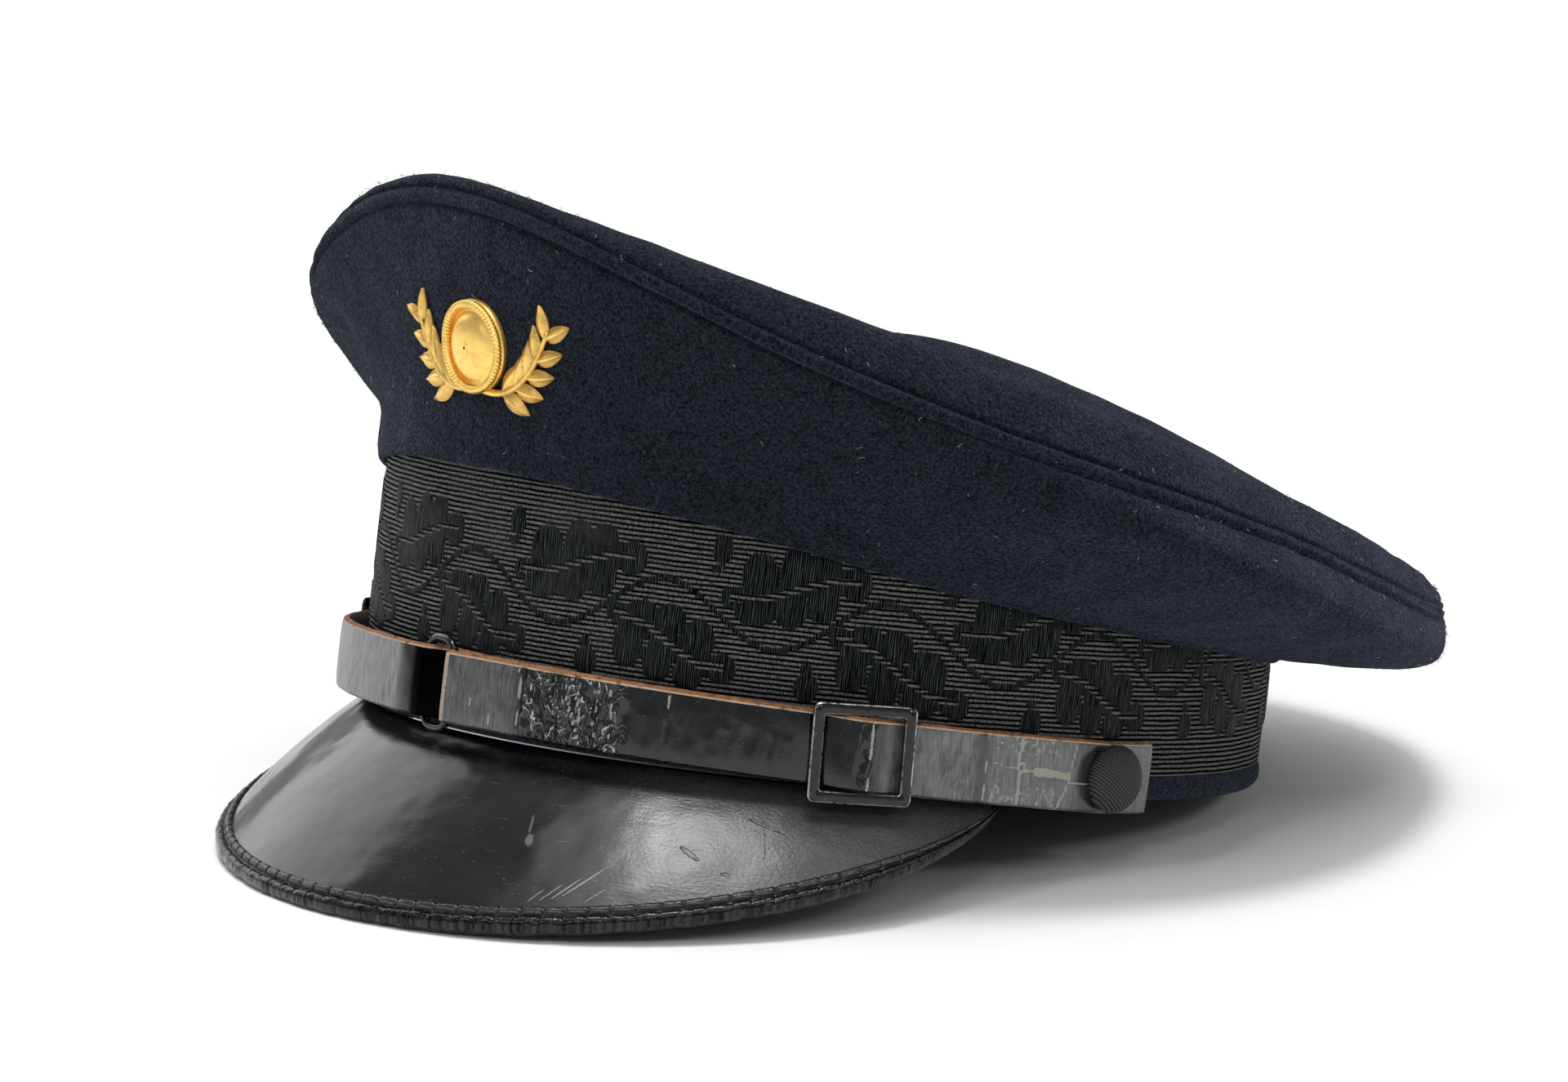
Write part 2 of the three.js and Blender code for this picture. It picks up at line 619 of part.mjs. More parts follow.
const pieces = [
  { name: 'crown_side_front_left', make: () => crownSide(0), finish: 'wool' },
  { name: 'crown_side_rear_left', make: () => crownSide(1), finish: 'wool' },
  { name: 'crown_side_rear_right', make: () => crownSide(2), finish: 'wool' },
  { name: 'crown_side_front_right', make: () => crownSide(3), finish: 'wool' },
  { name: 'crown_shoulder', make: crownShoulder, finish: 'wool' },
  { name: 'crown_top', make: crownTop, finish: 'wool' },
  { name: 'crown_welt', make: crownWelt, finish: 'wool' },
  { name: 'band', make: band, finish: 'mohair' },
  { name: 'base_roll', make: baseRoll, finish: 'wool' },
  { name: 'peak', make: peak, finish: 'lacquer' },
  { name: 'peak_binding', make: peakBinding, finish: 'lacquer' },
  { name: 'strap_left', make: () => punchedStrap(leftStrapOff, -buttonTurn), finish: 'strap' },
  { name: 'strap_right', make: () => punchedStrap(rightStrapOff, buttonTurn), finish: 'strap' },
  { name: 'wire_loop', make: wireLoop, finish: 'black_metal' },
  { name: 'buckle_right', make: () => buckle(rightBuckleTurn), finish: 'black_metal' },
  { name: 'buckle_left', make: () => buckle(leftBuckleTurn), finish: 'black_metal' },
  { name: 'button_right', make: () => button(buttonTurn), finish: 'rep_cloth' },
  { name: 'button_left', make: () => button(-buttonTurn), finish: 'rep_cloth' },
  { name: 'badge', make: badge, finish: 'gilt' },
];

const leaned = new THREE.Group();
for (const { name, make, finish } of pieces) {
  const mesh = new THREE.Mesh(make(), new THREE.MeshStandardMaterial(finishes[finish]));
  mesh.name = name;
  leaned.add(mesh);
}
leaned.rotation.x = -restTilt;

// The origin is the middle of the cap's footprint, on the surface that it lies on
const group = new THREE.Group();
group.add(leaned);
group.updateMatrixWorld(true);
const box = new THREE.Box3().setFromObject(leaned, true);
leaned.position.set(-(box.min.x + box.max.x) / 2, -(box.min.y + box.max.y) / 2, -box.min.z);

export default group;
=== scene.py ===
"""The officer cap's looks: wool crown, woven band, lacquered peak, leather chin strap, buttons and badge."""

import math

import bpy
import numpy as np
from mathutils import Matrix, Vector, noise


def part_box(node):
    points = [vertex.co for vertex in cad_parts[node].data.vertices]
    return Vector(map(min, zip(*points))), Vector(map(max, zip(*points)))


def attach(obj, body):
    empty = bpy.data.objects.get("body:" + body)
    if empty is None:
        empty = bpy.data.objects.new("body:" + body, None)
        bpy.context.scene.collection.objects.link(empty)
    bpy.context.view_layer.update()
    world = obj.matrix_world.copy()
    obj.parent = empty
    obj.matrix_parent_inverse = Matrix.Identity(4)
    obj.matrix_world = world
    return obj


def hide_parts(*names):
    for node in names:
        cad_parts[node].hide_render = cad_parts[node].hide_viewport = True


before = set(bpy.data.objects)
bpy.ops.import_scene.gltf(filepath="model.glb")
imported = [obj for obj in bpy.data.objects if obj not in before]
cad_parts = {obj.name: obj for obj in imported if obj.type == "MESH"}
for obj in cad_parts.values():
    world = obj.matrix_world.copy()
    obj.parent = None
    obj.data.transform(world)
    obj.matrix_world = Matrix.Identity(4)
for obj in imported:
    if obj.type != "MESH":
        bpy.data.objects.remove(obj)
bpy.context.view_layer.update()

MM = 0.001
DEGREES = math.pi / 180

# The cap's driving sizes, in millimetres, worked out level with the band's bottom at height 0
REST_TILT = 9.035 * DEGREES
GAP = 0.3
BAND_LONG = 102.6
BAND_WIDE = 90.0
BAND_WALL = 3.0
BAND_TOP_FRONT = 58.0
BAND_TOP_REAR = 48.0
ROLL_HEIGHT = 5.4
ROLL_PROUD = 0.8
BAND_FOOT = ROLL_HEIGHT + GAP
WOOL_WALL = 2.0

PEAK_REACH = 45.2
PEAK_HALF_TURN = 75 * DEGREES
PEAK_MIDDLE_TURN = -3 * DEGREES
PEAK_SLOPE_FRONT = 48.1 * DEGREES
PEAK_SLOPE_END = 42 * DEGREES
PEAK_FULLNESS = 0.9
PEAK_END_REACH = 2.4
PEAK_SHEET = 2.2
PEAK_DOME = 1.4

STRAP_WIDTH = 14.8
STRAP_SHEET = 1.5
STRAP_FRONT_HEIGHT = 9.2
STRAP_END_HEIGHT = 5.2
BUTTON_TURN = 86.5 * DEGREES
BUTTON_DOME = 4.6
BUCKLE_LENGTH = 21.0
BUCKLE_HEIGHT = 20.0
BUCKLE_BAR = 2.4
BUCKLE_PLATE = 1.2
BUCKLE_OFF = 6.45
WIRE_RADIUS = 0.9
LOOP_LENGTH = 11.4
LOOP_HEIGHT = 20.0
LOOP_CORNER = 3.6
RIGHT_BUCKLE_TURN = 54 * DEGREES
LEFT_BUCKLE_TURN = -61 * DEGREES
LOOP_TURN = -1 * DEGREES
LOOP_OFF = 3.6
LOOP_LEAN = 8 * DEGREES

# Crown sections every 45 degrees from the front over the left side
CROWN_SECTIONS = {
    "edge_z": (54.5, 45.5, 34.7, 28, 27, 28, 35, 47),
    "belly_r": (108, 113, 124, 130, 142, 129, 130, 109.5),
    "belly_z": (75, 66, 48, 30, 41, 50, 55, 75),
    "seam_r": (114, 120, 118, 131, 143, 127, 123, 118),
    "seam_z": (106.5, 81.5, 60, 42, 56, 73, 67, 87),
    "crest_r": (106.8, 112, 108.5, 124, 133, 122, 113, 108.5),
    "crest_z": (110, 92.5, 71.2, 51, 62.2, 85, 71.2, 95),
}
PANEL_SHARES = (0.84, 0.62, 0.36, 0)
PANEL_SAG = 3.0
SEAM_LEVEL = 2.0
MIDDLE_LEVEL = 3.0 + len(PANEL_SHARES)
# Soft ridges and hollows: turn, level, spread in turn, spread in level, rise
FOLDS = (
    (-34, 0.55, 7, 0.6, 2.4), (-46, 0.35, 16, 0.4, -7.3), (-44, 1.45, 14, 0.45, 2.4),
    (20, 0.3, 6, 0.45, 1.2), (34, 0.5, 7, 0.5, -1.6), (118, 0.6, 8, 0.4, 1.8), (132, 0.5, 7, 0.4, -1.6),
)
# How far each length of the strap stands off the band: turn in degrees, distance
LEFT_STRAP_OFF = (
    (-94, 1.3), (-85, 1.3), (-74, 3), (-66.4, 4), (-61, 8), (-55.6, 4.1), (-40, 4.4), (-20, 4.4),
    (-6.5, 4.7), (-3.4, 4.3), (-0.7, 1.5), (4, 1.6), (9, 2.4), (51, 2.4),
)
RIGHT_STRAP_OFF = (
    (2, 5.6), (3.4, 5.5), (9, 4.4), (44, 4.3), (48.5, 4.3), (54, 7.9), (59.5, 4.3), (66, 3.4),
    (76, 1.8), (85, 1.3), (93, 1.3),
)

# The badge
BADGE_LEVEL_Z = 78.0
BADGE_SIDE = 2.0
BOSS_RADIUS = 9.5
LEAF_PAIRS = 5
LEAF_LENGTH = 9.0
LEAF_WIDTH = 3.6
LEAF_HEIGHT = 1.5


def seat_of_band():
    """Where the band's middle stands in the frame, in millimetres, from the box of the band."""
    low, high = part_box("band")
    lean, rise = math.cos(REST_TILT), math.sin(REST_TILT)
    return np.array([
        (low.x + high.x) / 2 / MM,
        high.y / MM - BAND_LONG * lean - BAND_TOP_REAR * rise,
        low.z / MM + BAND_LONG * rise - BAND_FOOT * lean,
    ])


SEAT = seat_of_band()


def placed(points):
    """Level millimetres to the frame's metres."""
    points = np.asarray(points, float)
    lean, rise = math.cos(REST_TILT), math.sin(REST_TILT)
    x, y, z = points[..., 0], points[..., 1], points[..., 2]
    return (np.stack([x, y * lean + z * rise, z * lean - y * rise], -1) + SEAT) * MM


def unit(vectors):
    return vectors / np.maximum(np.linalg.norm(vectors, axis=-1, keepdims=True), 1e-12)


def lengths_along(points):
    """The length of a line of points, or of several side by side, from its first point to each."""
    steps = np.linalg.norm(np.diff(points, axis=0), axis=-1)
    return np.concatenate([0 * steps[:1], np.cumsum(steps, 0)])


def pairs(first, second):
    """Two coordinates side by side."""
    return np.stack(np.broadcast_arrays(first, second), -1)


def degrees_from(turn, middle):
    """How far a turn is from a middle in degrees, by the shorter way round."""
    return np.angle(np.exp(1j * (turn - middle * DEGREES))) / DEGREES


# The cap's own surfaces, as functions of the turn round the band

ARC_STEPS = 7200


def oval_normal(turn):
    return unit(np.stack([np.sin(turn) / BAND_WIDE, -np.cos(turn) / BAND_LONG, 0 * turn], -1))


def oval(turn, out, z):
    turn, out, z = np.broadcast_arrays(np.asarray(turn, float), out, z)
    foot = np.stack([BAND_WIDE * np.sin(turn), -BAND_LONG * np.cos(turn), z.astype(float)], -1)
    return foot + oval_normal(turn) * out[..., None]


def oval_reach(turn):
    return BAND_LONG * BAND_WIDE / np.hypot(BAND_LONG * np.sin(turn), BAND_WIDE * np.cos(turn))


def arc_table():
    turns = np.linspace(-math.pi, math.pi, ARC_STEPS + 1)
    arcs = lengths_along(oval(turns, 0, 0))
    return turns, arcs - arcs[-1] / 2


ARC_TURNS, ARC_LENGTHS = arc_table()
OVAL_LENGTH = 2 * ARC_LENGTHS[-1]


def turn_at(arc):
    return np.interp(arc, ARC_LENGTHS, ARC_TURNS)


def arc_at(turn):
    return np.interp(turn, ARC_TURNS, ARC_LENGTHS)


def periodic(values):
    values = np.array(values, float)
    waves = np.fft.rfft(values) / len(values)
    waves[1:-1] *= 2

    def value(turn, share=1.0):
        total = 0 * turn * share
        for k, wave in enumerate(waves):
            size = share ** k
            total = total + size * (wave.real * np.cos(k * turn) - wave.imag * np.sin(k * turn))
        return total

    return value


CROWN = {name: periodic(values) for name, values in CROWN_SECTIONS.items()}


def catmull(values, at):
    values = np.stack(np.broadcast_arrays(*values))
    first = np.clip(np.floor(at).astype(int), 0, len(values) - 2)
    f = at - first

    def row(i):
        i = np.clip(i, 0, len(values) - 1)
        return np.take_along_axis(values, i[None], 0)[0]

    p0, p1, p2, p3 = row(first - 1), row(first), row(first + 1), row(first + 2)
    return 0.5 * (2 * p1 + (p2 - p0) * f + (2 * p0 - 5 * p1 + 4 * p2 - p3) * f ** 2
                  + (3 * p1 - p0 - 3 * p2 + p3) * f ** 3)


def fold_rise(turn, level):
    free = np.minimum(level / 0.4, 1) ** 2
    total = 0 * turn
    for at, at_level, wide, tall, rise in FOLDS:
        away = degrees_from(turn, at)
        total = total + rise * free * np.exp(-(away / wide) ** 2 - ((level - at_level) / tall) ** 2)
    return total


def crown_point(turn, level):
    """Outer face of the crown: level 0 is the wool's edge, 2 the seam, 3 the crest, the last the middle."""
    turn, level = np.broadcast_arrays(np.asarray(turn, float), np.asarray(level, float))
    edge_reach = oval_reach(turn) + WOOL_WALL + GAP
    reaches = [edge_reach, CROWN["belly_r"](turn), CROWN["seam_r"](turn), CROWN["crest_r"](turn)]
    heights = [CROWN["edge_z"](turn), CROWN["belly_z"](turn), CROWN["seam_z"](turn), CROWN["crest_z"](turn)]
    for share in PANEL_SHARES:
        reaches.append(CROWN["crest_r"](turn) * share)
        heights.append(CROWN["crest_z"](turn, share) - PANEL_SAG * (1 - share * share))
    reach = catmull(reaches, level) + fold_rise(turn, level)
    reach = np.where(level < SEAM_LEVEL, np.maximum(reach, edge_reach), reach)
    return np.stack([reach * np.sin(turn), -reach * np.cos(turn), catmull(heights, level)], -1)


def crown_normal(turn, level):
    small = 0.01
    along = crown_point(turn + small, level) - crown_point(turn - small, level)
    up = crown_point(turn, level + small) - crown_point(turn, np.maximum(level - small, 0))
    return unit(np.cross(along, up))


def peak_share(turn):
    return (turn - PEAK_MIDDLE_TURN) / PEAK_HALF_TURN


def peak_width(turn):
    share = peak_share(turn)
    fullness = np.maximum(1 - share * share, 0) ** PEAK_FULLNESS
    return PEAK_END_REACH * share * share + PEAK_REACH * fullness


def peak_point(turn, run, over):
    share = peak_share(turn)
    slope = PEAK_SLOPE_FRONT + (PEAK_SLOPE_END - PEAK_SLOPE_FRONT) * share * share
    width = peak_width(turn)
    along = np.minimum(run / width, 1)
    lift = over + PEAK_DOME * 4 * along * (1 - along) * width / PEAK_REACH
    out = run * np.cos(slope) + lift * np.sin(slope) - 1
    return oval(turn, out, -run * np.sin(slope) + lift * np.cos(slope) - GAP)


def binding_share(turn):
    share = peak_share(turn)
    return 0.16 + 0.84 * np.minimum((1 - share * share) * 2.6, 1)


def table_value(rows, turn):
    at, off = (np.array(column, float) for column in zip(*rows))
    t = np.clip(turn / DEGREES, at[0], at[-1])
    i = np.clip(np.searchsorted(at, t) - 1, 0, len(at) - 2)
    f = (t - at[i]) / (at[i + 1] - at[i])
    return off[i] + (off[i + 1] - off[i]) * f * f * (3 - 2 * f)


def strap_height(turn):
    turn = np.clip(turn, -BUTTON_TURN, BUTTON_TURN)
    share = np.cos(turn * math.pi / 2 / BUTTON_TURN)
    return STRAP_END_HEIGHT + (STRAP_FRONT_HEIGHT - STRAP_END_HEIGHT) * share


# Making meshes


def smooth_step(low, high, value):
    f = np.clip((value - low) / (high - low), 0, 1)
    return f * f * (3 - 2 * f)


def bell(value, middle, spread):
    return np.exp(-((value - middle) / spread) ** 2)


def noise_at(points, size, seed=0.0):
    """Smooth noise from -1 to 1, with features of a size, at points of any shape."""
    points = np.asarray(points, float)
    flat = points.reshape(-1, points.shape[-1]) / size + seed * 17.3
    if flat.shape[1] == 2:
        flat = np.concatenate([flat, np.full((len(flat), 1), seed * 5.1)], 1)
    values = [noise.noise(p) for p in flat.tolist()]
    return np.array(values).reshape(points.shape[:-1])


def grid(points, wrap_rows=False, wrap_columns=False):
    """Vertices and four-sided faces of a grid of points, rows by columns."""
    rows, columns = points.shape[:2]
    index = np.arange(rows * columns).reshape(rows, columns)
    if wrap_rows:
        index = np.concatenate([index, index[:1]], 0)
    if wrap_columns:
        index = np.concatenate([index, index[:, :1]], 1)
    faces = np.stack([index[:-1, :-1], index[:-1, 1:], index[1:, 1:], index[1:, :-1]], -1)
    return points.reshape(-1, 3), faces.reshape(-1, 4)


def grid_normals(points, wrap_columns=False):
    """Outward normals of a grid whose columns run round and whose rows run up."""
    if wrap_columns:
        along = np.roll(points, -1, 1) - np.roll(points, 1, 1)
    else:
        along = np.gradient(points, axis=1)
    up = np.gradient(points, axis=0)
    return unit(np.cross(along, up))


def circle(steps):
    return np.linspace(0, 2 * math.pi, steps, endpoint=False)


def ring(radius, angles, height):
    """Points round the upright axis, in circles or what the radius makes of them."""
    return np.stack([radius * np.cos(angles), radius * np.sin(angles), height + 0 * angles], -1)


def end_caps(rows, columns):
    """One face over each open end of a grid that closes on itself by rows."""
    return [[r * columns for r in range(rows)], [r * columns + columns - 1 for r in range(rows)][::-1]]


def pole_fans(vertices, faces, columns, last_pole, first_pole):
    """Closes a grid that goes round by columns with a point past its last row and one before its first."""
    count = len(vertices)
    last = count - columns
    fans = []
    for i in range(columns):
        k = (i + 1) % columns
        fans += [[last + i, last + k, count], [k, i, count + 1]]
    return np.concatenate([vertices, [last_pole, first_pole]]), faces.tolist() + fans


def joined(parts):
    """One list of vertices and faces from several."""
    vertices, faces, start = [], [], 0
    for part_vertices, part_faces in parts:
        vertices.append(np.asarray(part_vertices, float).reshape(-1, 3))
        faces.extend((np.asarray(face) + start).tolist() for face in part_faces)
        start += len(vertices[-1])
    return np.concatenate(vertices), faces


def piece(name, vertices, faces, materials, replaces=(), uv=None, values=None, face_material=None):
    """A named smooth mesh that rides on the cap; vertices are in level millimetres."""
    mesh = bpy.data.meshes.new(name)
    faces = faces.tolist() if isinstance(faces, np.ndarray) else faces
    mesh.from_pydata(placed(vertices).tolist(), [], faces)
    for material in materials:
        mesh.materials.append(material)
    if face_material is not None:
        mesh.polygons.foreach_set("material_index", np.asarray(face_material, np.int32))
    mesh.polygons.foreach_set("use_smooth", np.full(len(mesh.polygons), True))
    if uv is not None:
        corners = np.zeros(len(mesh.loops), np.int32)
        mesh.loops.foreach_get("vertex_index", corners)
        layer = mesh.uv_layers.new(name="plan")
        layer.data.foreach_set("uv", np.asarray(uv, np.float32).reshape(-1, 2)[corners].ravel())
    for label, numbers in (values or {}).items():
        attribute = mesh.attributes.new(label, "FLOAT", "POINT")
        attribute.data.foreach_set("value", np.asarray(numbers, np.float32).ravel())
    mesh.validate()
    mesh.update()
    obj = bpy.data.objects.new(name, mesh)
    bpy.context.scene.collection.objects.link(obj)
    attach(obj, "root")
    if replaces:
        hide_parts(*replaces)
    return obj


# A direction that no tube's path runs along
ASKEW = (0.13, 0.21, 0.97)


def swept_tube(path, radius, sides, closed=False):
    """A round tube along points, with its ends closed by a fan where it is open."""
    path = np.asarray(path, float)
    ahead = unit(np.roll(path, -1, 0) - np.roll(path, 1, 0) if closed else np.gradient(path, axis=0))
    side = unit(np.cross(ahead, ASKEW))
    up = np.cross(ahead, side)
    angles = circle(sides)
    radius = np.broadcast_to(radius, len(path))[:, None, None]
    round_path = side[:, None] * np.cos(angles)[:, None] + up[:, None] * np.sin(angles)[:, None]
    vertices, faces = grid(path[:, None] + round_path * radius, wrap_rows=closed, wrap_columns=True)
    faces = faces.tolist()
    if not closed:
        last = (len(path) - 1) * sides
        faces += [list(range(sides))[::-1], list(range(last, last + sides))]
    return vertices, faces


# Making materials


class Level:
    """A number in a material's nodes, on which arithmetic makes more nodes."""

    def __init__(self, paint, socket):
        self.paint = paint
        self.socket = socket

    def __add__(self, other):
        return self.paint.math("ADD", self, other)

    def __mul__(self, other):
        return self.paint.math("MULTIPLY", self, other)

    def __sub__(self, other):
        return self.paint.math("SUBTRACT", self, other)

    def __pow__(self, other):
        return self.paint.math("POWER", self, other)

    def __abs__(self):
        return self.paint.math("ABSOLUTE", self)

    __radd__ = __add__
    __rmul__ = __mul__


class Paint:
    """A material's nodes, with one Principled surface."""

    def __init__(self, name):
        self.material = bpy.data.materials.new(name)
        self.material.use_nodes = True
        self.tree = self.material.node_tree
        self.surface = self.tree.nodes["Principled BSDF"]

    def node(self, kind, values=(), **settings):
        made = self.tree.nodes.new(kind)
        for key, value in settings.items():
            setattr(made, key, value)
        entries = values.items() if isinstance(values, dict) else enumerate(values)
        for key, value in entries:
            self.feed(made.inputs[key], value)
        return made

    def feed(self, socket, value):
        if isinstance(value, Level):
            value = value.socket
        if isinstance(value, bpy.types.NodeSocket):
            self.tree.links.new(value, socket)
        elif value is not None:
            socket.default_value = value

    def level(self, node, output=0):
        return Level(self, node.outputs[output])

    def math(self, operation, *values, clamp=False):
        return self.level(self.node("ShaderNodeMath", values, operation=operation, use_clamp=clamp))

    def wave(self, value, pitch):
        return self.math("SINE", value * (2 * math.pi / pitch))

    def plan(self):
        """The millimetres along and up that the mesh keeps in its map."""
        return self.node("ShaderNodeUVMap", uv_map="plan").outputs[0]

    def parts(self, vector):
        made = self.node("ShaderNodeSeparateXYZ", [vector])
        return self.level(made, 0), self.level(made, 1)

    def body(self):
        return self.node("ShaderNodeTexCoord").outputs["Object"]

    def value(self, name):
        return self.level(self.node("ShaderNodeAttribute", attribute_name=name), "Fac")

    def scaled(self, vector, scale, turn=0.0):
        entries = {"Vector": vector, "Scale": scale, "Rotation": (0, 0, turn)}
        return self.node("ShaderNodeMapping", entries).outputs[0]

    def noise(self, vector, scale=1.0, detail=2.0, roughness=0.5, distortion=0.0):
        entries = {"Vector": vector, "Scale": scale, "Detail": detail, "Roughness": roughness,
                   "Distortion": distortion}
        return self.level(self.node("ShaderNodeTexNoise", entries), "Fac")

    def grain(self, plan, along, up, detail=2.0, roughness=0.5, turn=0.0, distortion=0.0):
        """Noise with so many features to a millimetre along the plan and up it."""
        return self.noise(self.scaled(plan, (along, up, 1), turn), 1.0, detail, roughness, distortion)

    def cells(self, vector, scale=1.0, feature="F1"):
        made = self.node("ShaderNodeTexVoronoi", {"Vector": vector, "Scale": scale}, feature=feature)
        return self.level(made, "Distance")

    def mark(self, plan, at, angle, size):
        """1 inside a slender patch at a place on the plan, turned by degrees, and 0 off it."""
        moved = self.node("ShaderNodeVectorMath", [plan, (*at, 0)], operation="SUBTRACT").outputs[0]
        turned = self.scaled(moved, (1, 1, 0), -angle * DEGREES)
        length, width = size
        sized = self.node("ShaderNodeVectorMath", [turned, (2 / length, 2 / width, 0)], operation="MULTIPLY")
        far = self.level(self.node("ShaderNodeVectorMath", [sized.outputs[0]], operation="LENGTH"), "Value")
        return self.fade(far + self.ragged(plan), 1.1, 0.75)

    def ragged(self, plan):
        return self.fade(self.noise(plan, 1.6, 2), 0.2, 0.8, -0.25, 0.25)

    def fade(self, value, low, high, to_low=0.0, to_high=1.0):
        """A value from low to high as one from to_low to to_high, kept between them."""
        return self.level(self.node("ShaderNodeMapRange", [value, low, high, to_low, to_high], clamp=True))

    def mix(self, share, first, second):
        made = self.node("ShaderNodeMix", {0: share, 6: first, 7: second}, data_type="RGBA")
        return made.outputs[2]

    def blend(self, share, first, second):
        """The same for two numbers."""
        return self.level(self.node("ShaderNodeMix", {0: share, 2: first, 3: second}, data_type="FLOAT"))

    def bump(self, height, distance, strength=1.0, under=None):
        entries = {"Height": height, "Distance": distance * MM, "Strength": strength, "Normal": under}
        return self.node("ShaderNodeBump", entries).outputs[0]

    def set(self, **sockets):
        for key, value in sockets.items():
            self.feed(self.surface.inputs[key.replace("_", " ")], value)
        return self.material


def rgb(red, green, blue):
    return (red, green, blue, 1.0)


WOOL_DEEP, WOOL_NAVY = rgb(0.0015, 0.0018, 0.0034), rgb(0.0033, 0.004, 0.0066)
WOOL_TUFT, WOOL_SHEEN = rgb(0.027, 0.031, 0.042), rgb(0.54, 0.65, 0.9)


def wool_paint():
    p = Paint("wool")
    at = p.body()
    mottle = p.noise(at, 110, 4, 0.6)
    nap = p.noise(at, 1500, 3, 0.7, 0.5)
    fibre = p.noise(p.scaled(at, (1, 1, 0.5)), 3000, 3, 0.7)
    tuft = nap * 0.65 + fibre * 0.35
    bright = p.fade(tuft, 0.42, 0.68)
    tone = p.mix(p.fade(mottle, 0.3, 0.7), WOOL_DEEP, WOOL_NAVY)
    sheen = p.fade(bright, 0, 1, 0.05, 0.3) * p.fade(mottle, 0.3, 0.7, 0.7, 1.3)
    soft = p.bump(mottle, 0.6, 0.7)
    return p.set(Base_Color=p.mix(bright, tone, WOOL_TUFT), Roughness=0.95, Specular_IOR_Level=0.05,
                 Sheen_Weight=sheen, Sheen_Roughness=0.42, Sheen_Tint=WOOL_SHEEN,
                 Normal=p.bump(tuft, 0.7, 1.0, soft))


# Pitches of the cloths' ribs and threads
RIB_PITCH = 1.0
TWIST_PITCH = 0.42
THREAD_PITCH = 0.46
REP_PITCH = 0.62
REP_THREAD = 0.4
CORD_SHADE, CORD_HIGHLIGHT = rgb(0.0004, 0.0004, 0.0005), rgb(0.2, 0.208, 0.2)
LEAF_SHADE, LEAF_HIGHLIGHT = rgb(0.0006, 0.0008, 0.001), rgb(0.045, 0.056, 0.058)
BRAID_DUST = rgb(0.055, 0.058, 0.056)


def braid_paint():
    """Ribs of twisted cord, crossed by smooth leaves of upright threads."""
    p = Paint("mohair_braid")
    plan = p.plan()
    arc, rise = p.parts(plan)
    fray = p.fade(p.grain(plan, 2.2, 1.1), 0.25, 0.75, -0.16, 0.16)
    leaf = p.fade(p.value("leaf") + fray, 0.44, 0.56)
    # The ribs run along the band, and each is a twisted cord
    wander = p.fade(p.grain(plan, 0.12, 0.5), 0.2, 0.8, -0.16, 0.16)
    rib = p.fade(p.wave(rise + wander, RIB_PITCH), -0.9, 0.5)
    twist = p.fade(p.wave(arc + rise * 0.55, TWIST_PITCH), -1, 1)
    uneven = p.grain(plan, 1.7, 1.3, 3, 0.7)
    cord = rib * (0.3 + twist * 0.7) * p.fade(uneven, 0.32, 0.68, 0.2, 1.4)
    # The leaves' threads stand upright and lie loosely
    loose = p.fade(p.grain(plan, 0.9, 0.12), 0.2, 0.8, -0.3, 0.3)
    thread = p.fade(p.wave(arc + loose, THREAD_PITCH), -0.4, 0.9)
    strands = p.grain(plan, 2.6, 0.16, 3, 0.7)
    strand = thread * p.fade(strands, 0.35, 0.7, 0.1, 1.5)
    # Painted shade and highlight: near black in the gaps between the ribs, lighter on their tops and twists,
    # and lighter along the leaves' strands
    ground_tone = p.mix(p.fade(cord, 0.05, 1.0), CORD_SHADE, CORD_HIGHLIGHT)
    leaf_tone = p.mix(p.fade(strand, 0.1, 1.1), LEAF_SHADE, LEAF_HIGHLIGHT)
    tone = p.mix(leaf, ground_tone, leaf_tone)
    dust = p.grain(plan, 0.05, 0.07, 5, 0.65)
    dust = p.fade(dust, 0.45, 0.75, 0, 0.45) * p.value("front")
    shine = p.blend(leaf, p.fade(cord, 0.1, 1, 0.0, 0.3), p.fade(strand, 0.1, 1, 0.02, 0.26))
    height = p.blend(leaf, rib * (0.75 + twist * 0.25), strand * 0.4 + 0.5)
    return p.set(Base_Color=p.mix(dust, tone, BRAID_DUST), Roughness=0.55, Specular_IOR_Level=shine,
                 Normal=p.bump(height, 0.45, 1.0))


# Marks on the peak: place along and from the band, direction in degrees, length and width, and for the
# pale ones their strength
PALE_MARKS = (
    ((31.2, 23.4), 80, (3.0, 1.5), 0.3), ((30.2, 19.5), 80, (5.0, 0.5), 0.25),
    ((43.0, 31.0), -55, (10.0, 0.3), 0.7), ((40.6, 33.0), -57, (7.0, 0.26), 0.7),
    ((38.4, 34.4), -58, (5.5, 0.24), 0.6), ((36.2, 35.6), -60, (4.5, 0.22), 0.5),
    ((45.5, 33.5), -52, (5.0, 0.22), 0.5),
)
DARK_MARKS = (
    ((58.9, 21.1), 40, (4.6, 1.0)), ((71.5, 12.3), 23, (8.0, 0.8)), ((71.5, 15.5), 86, (9.3, 0.2)),
    ((65.4, 24.9), 0, (1.6, 0.8)),
)
# Where along the band the peak's worn side starts, and how far its inner edge is in shade
WORN_FROM, WORN_FULL = 38, 62
SHADE_TO, SHADE_CLEAR = 1.2, 4.2
LACQUER_BLACK, LACQUER_SMEAR = rgb(0.0025, 0.003, 0.0045), rgb(0.01, 0.0108, 0.0125)
LACQUER_HAZE, LACQUER_CHIP = rgb(0.05, 0.048, 0.044), rgb(0.3, 0.3, 0.29)
LACQUER_SCUFF = rgb(0.002, 0.002, 0.002)


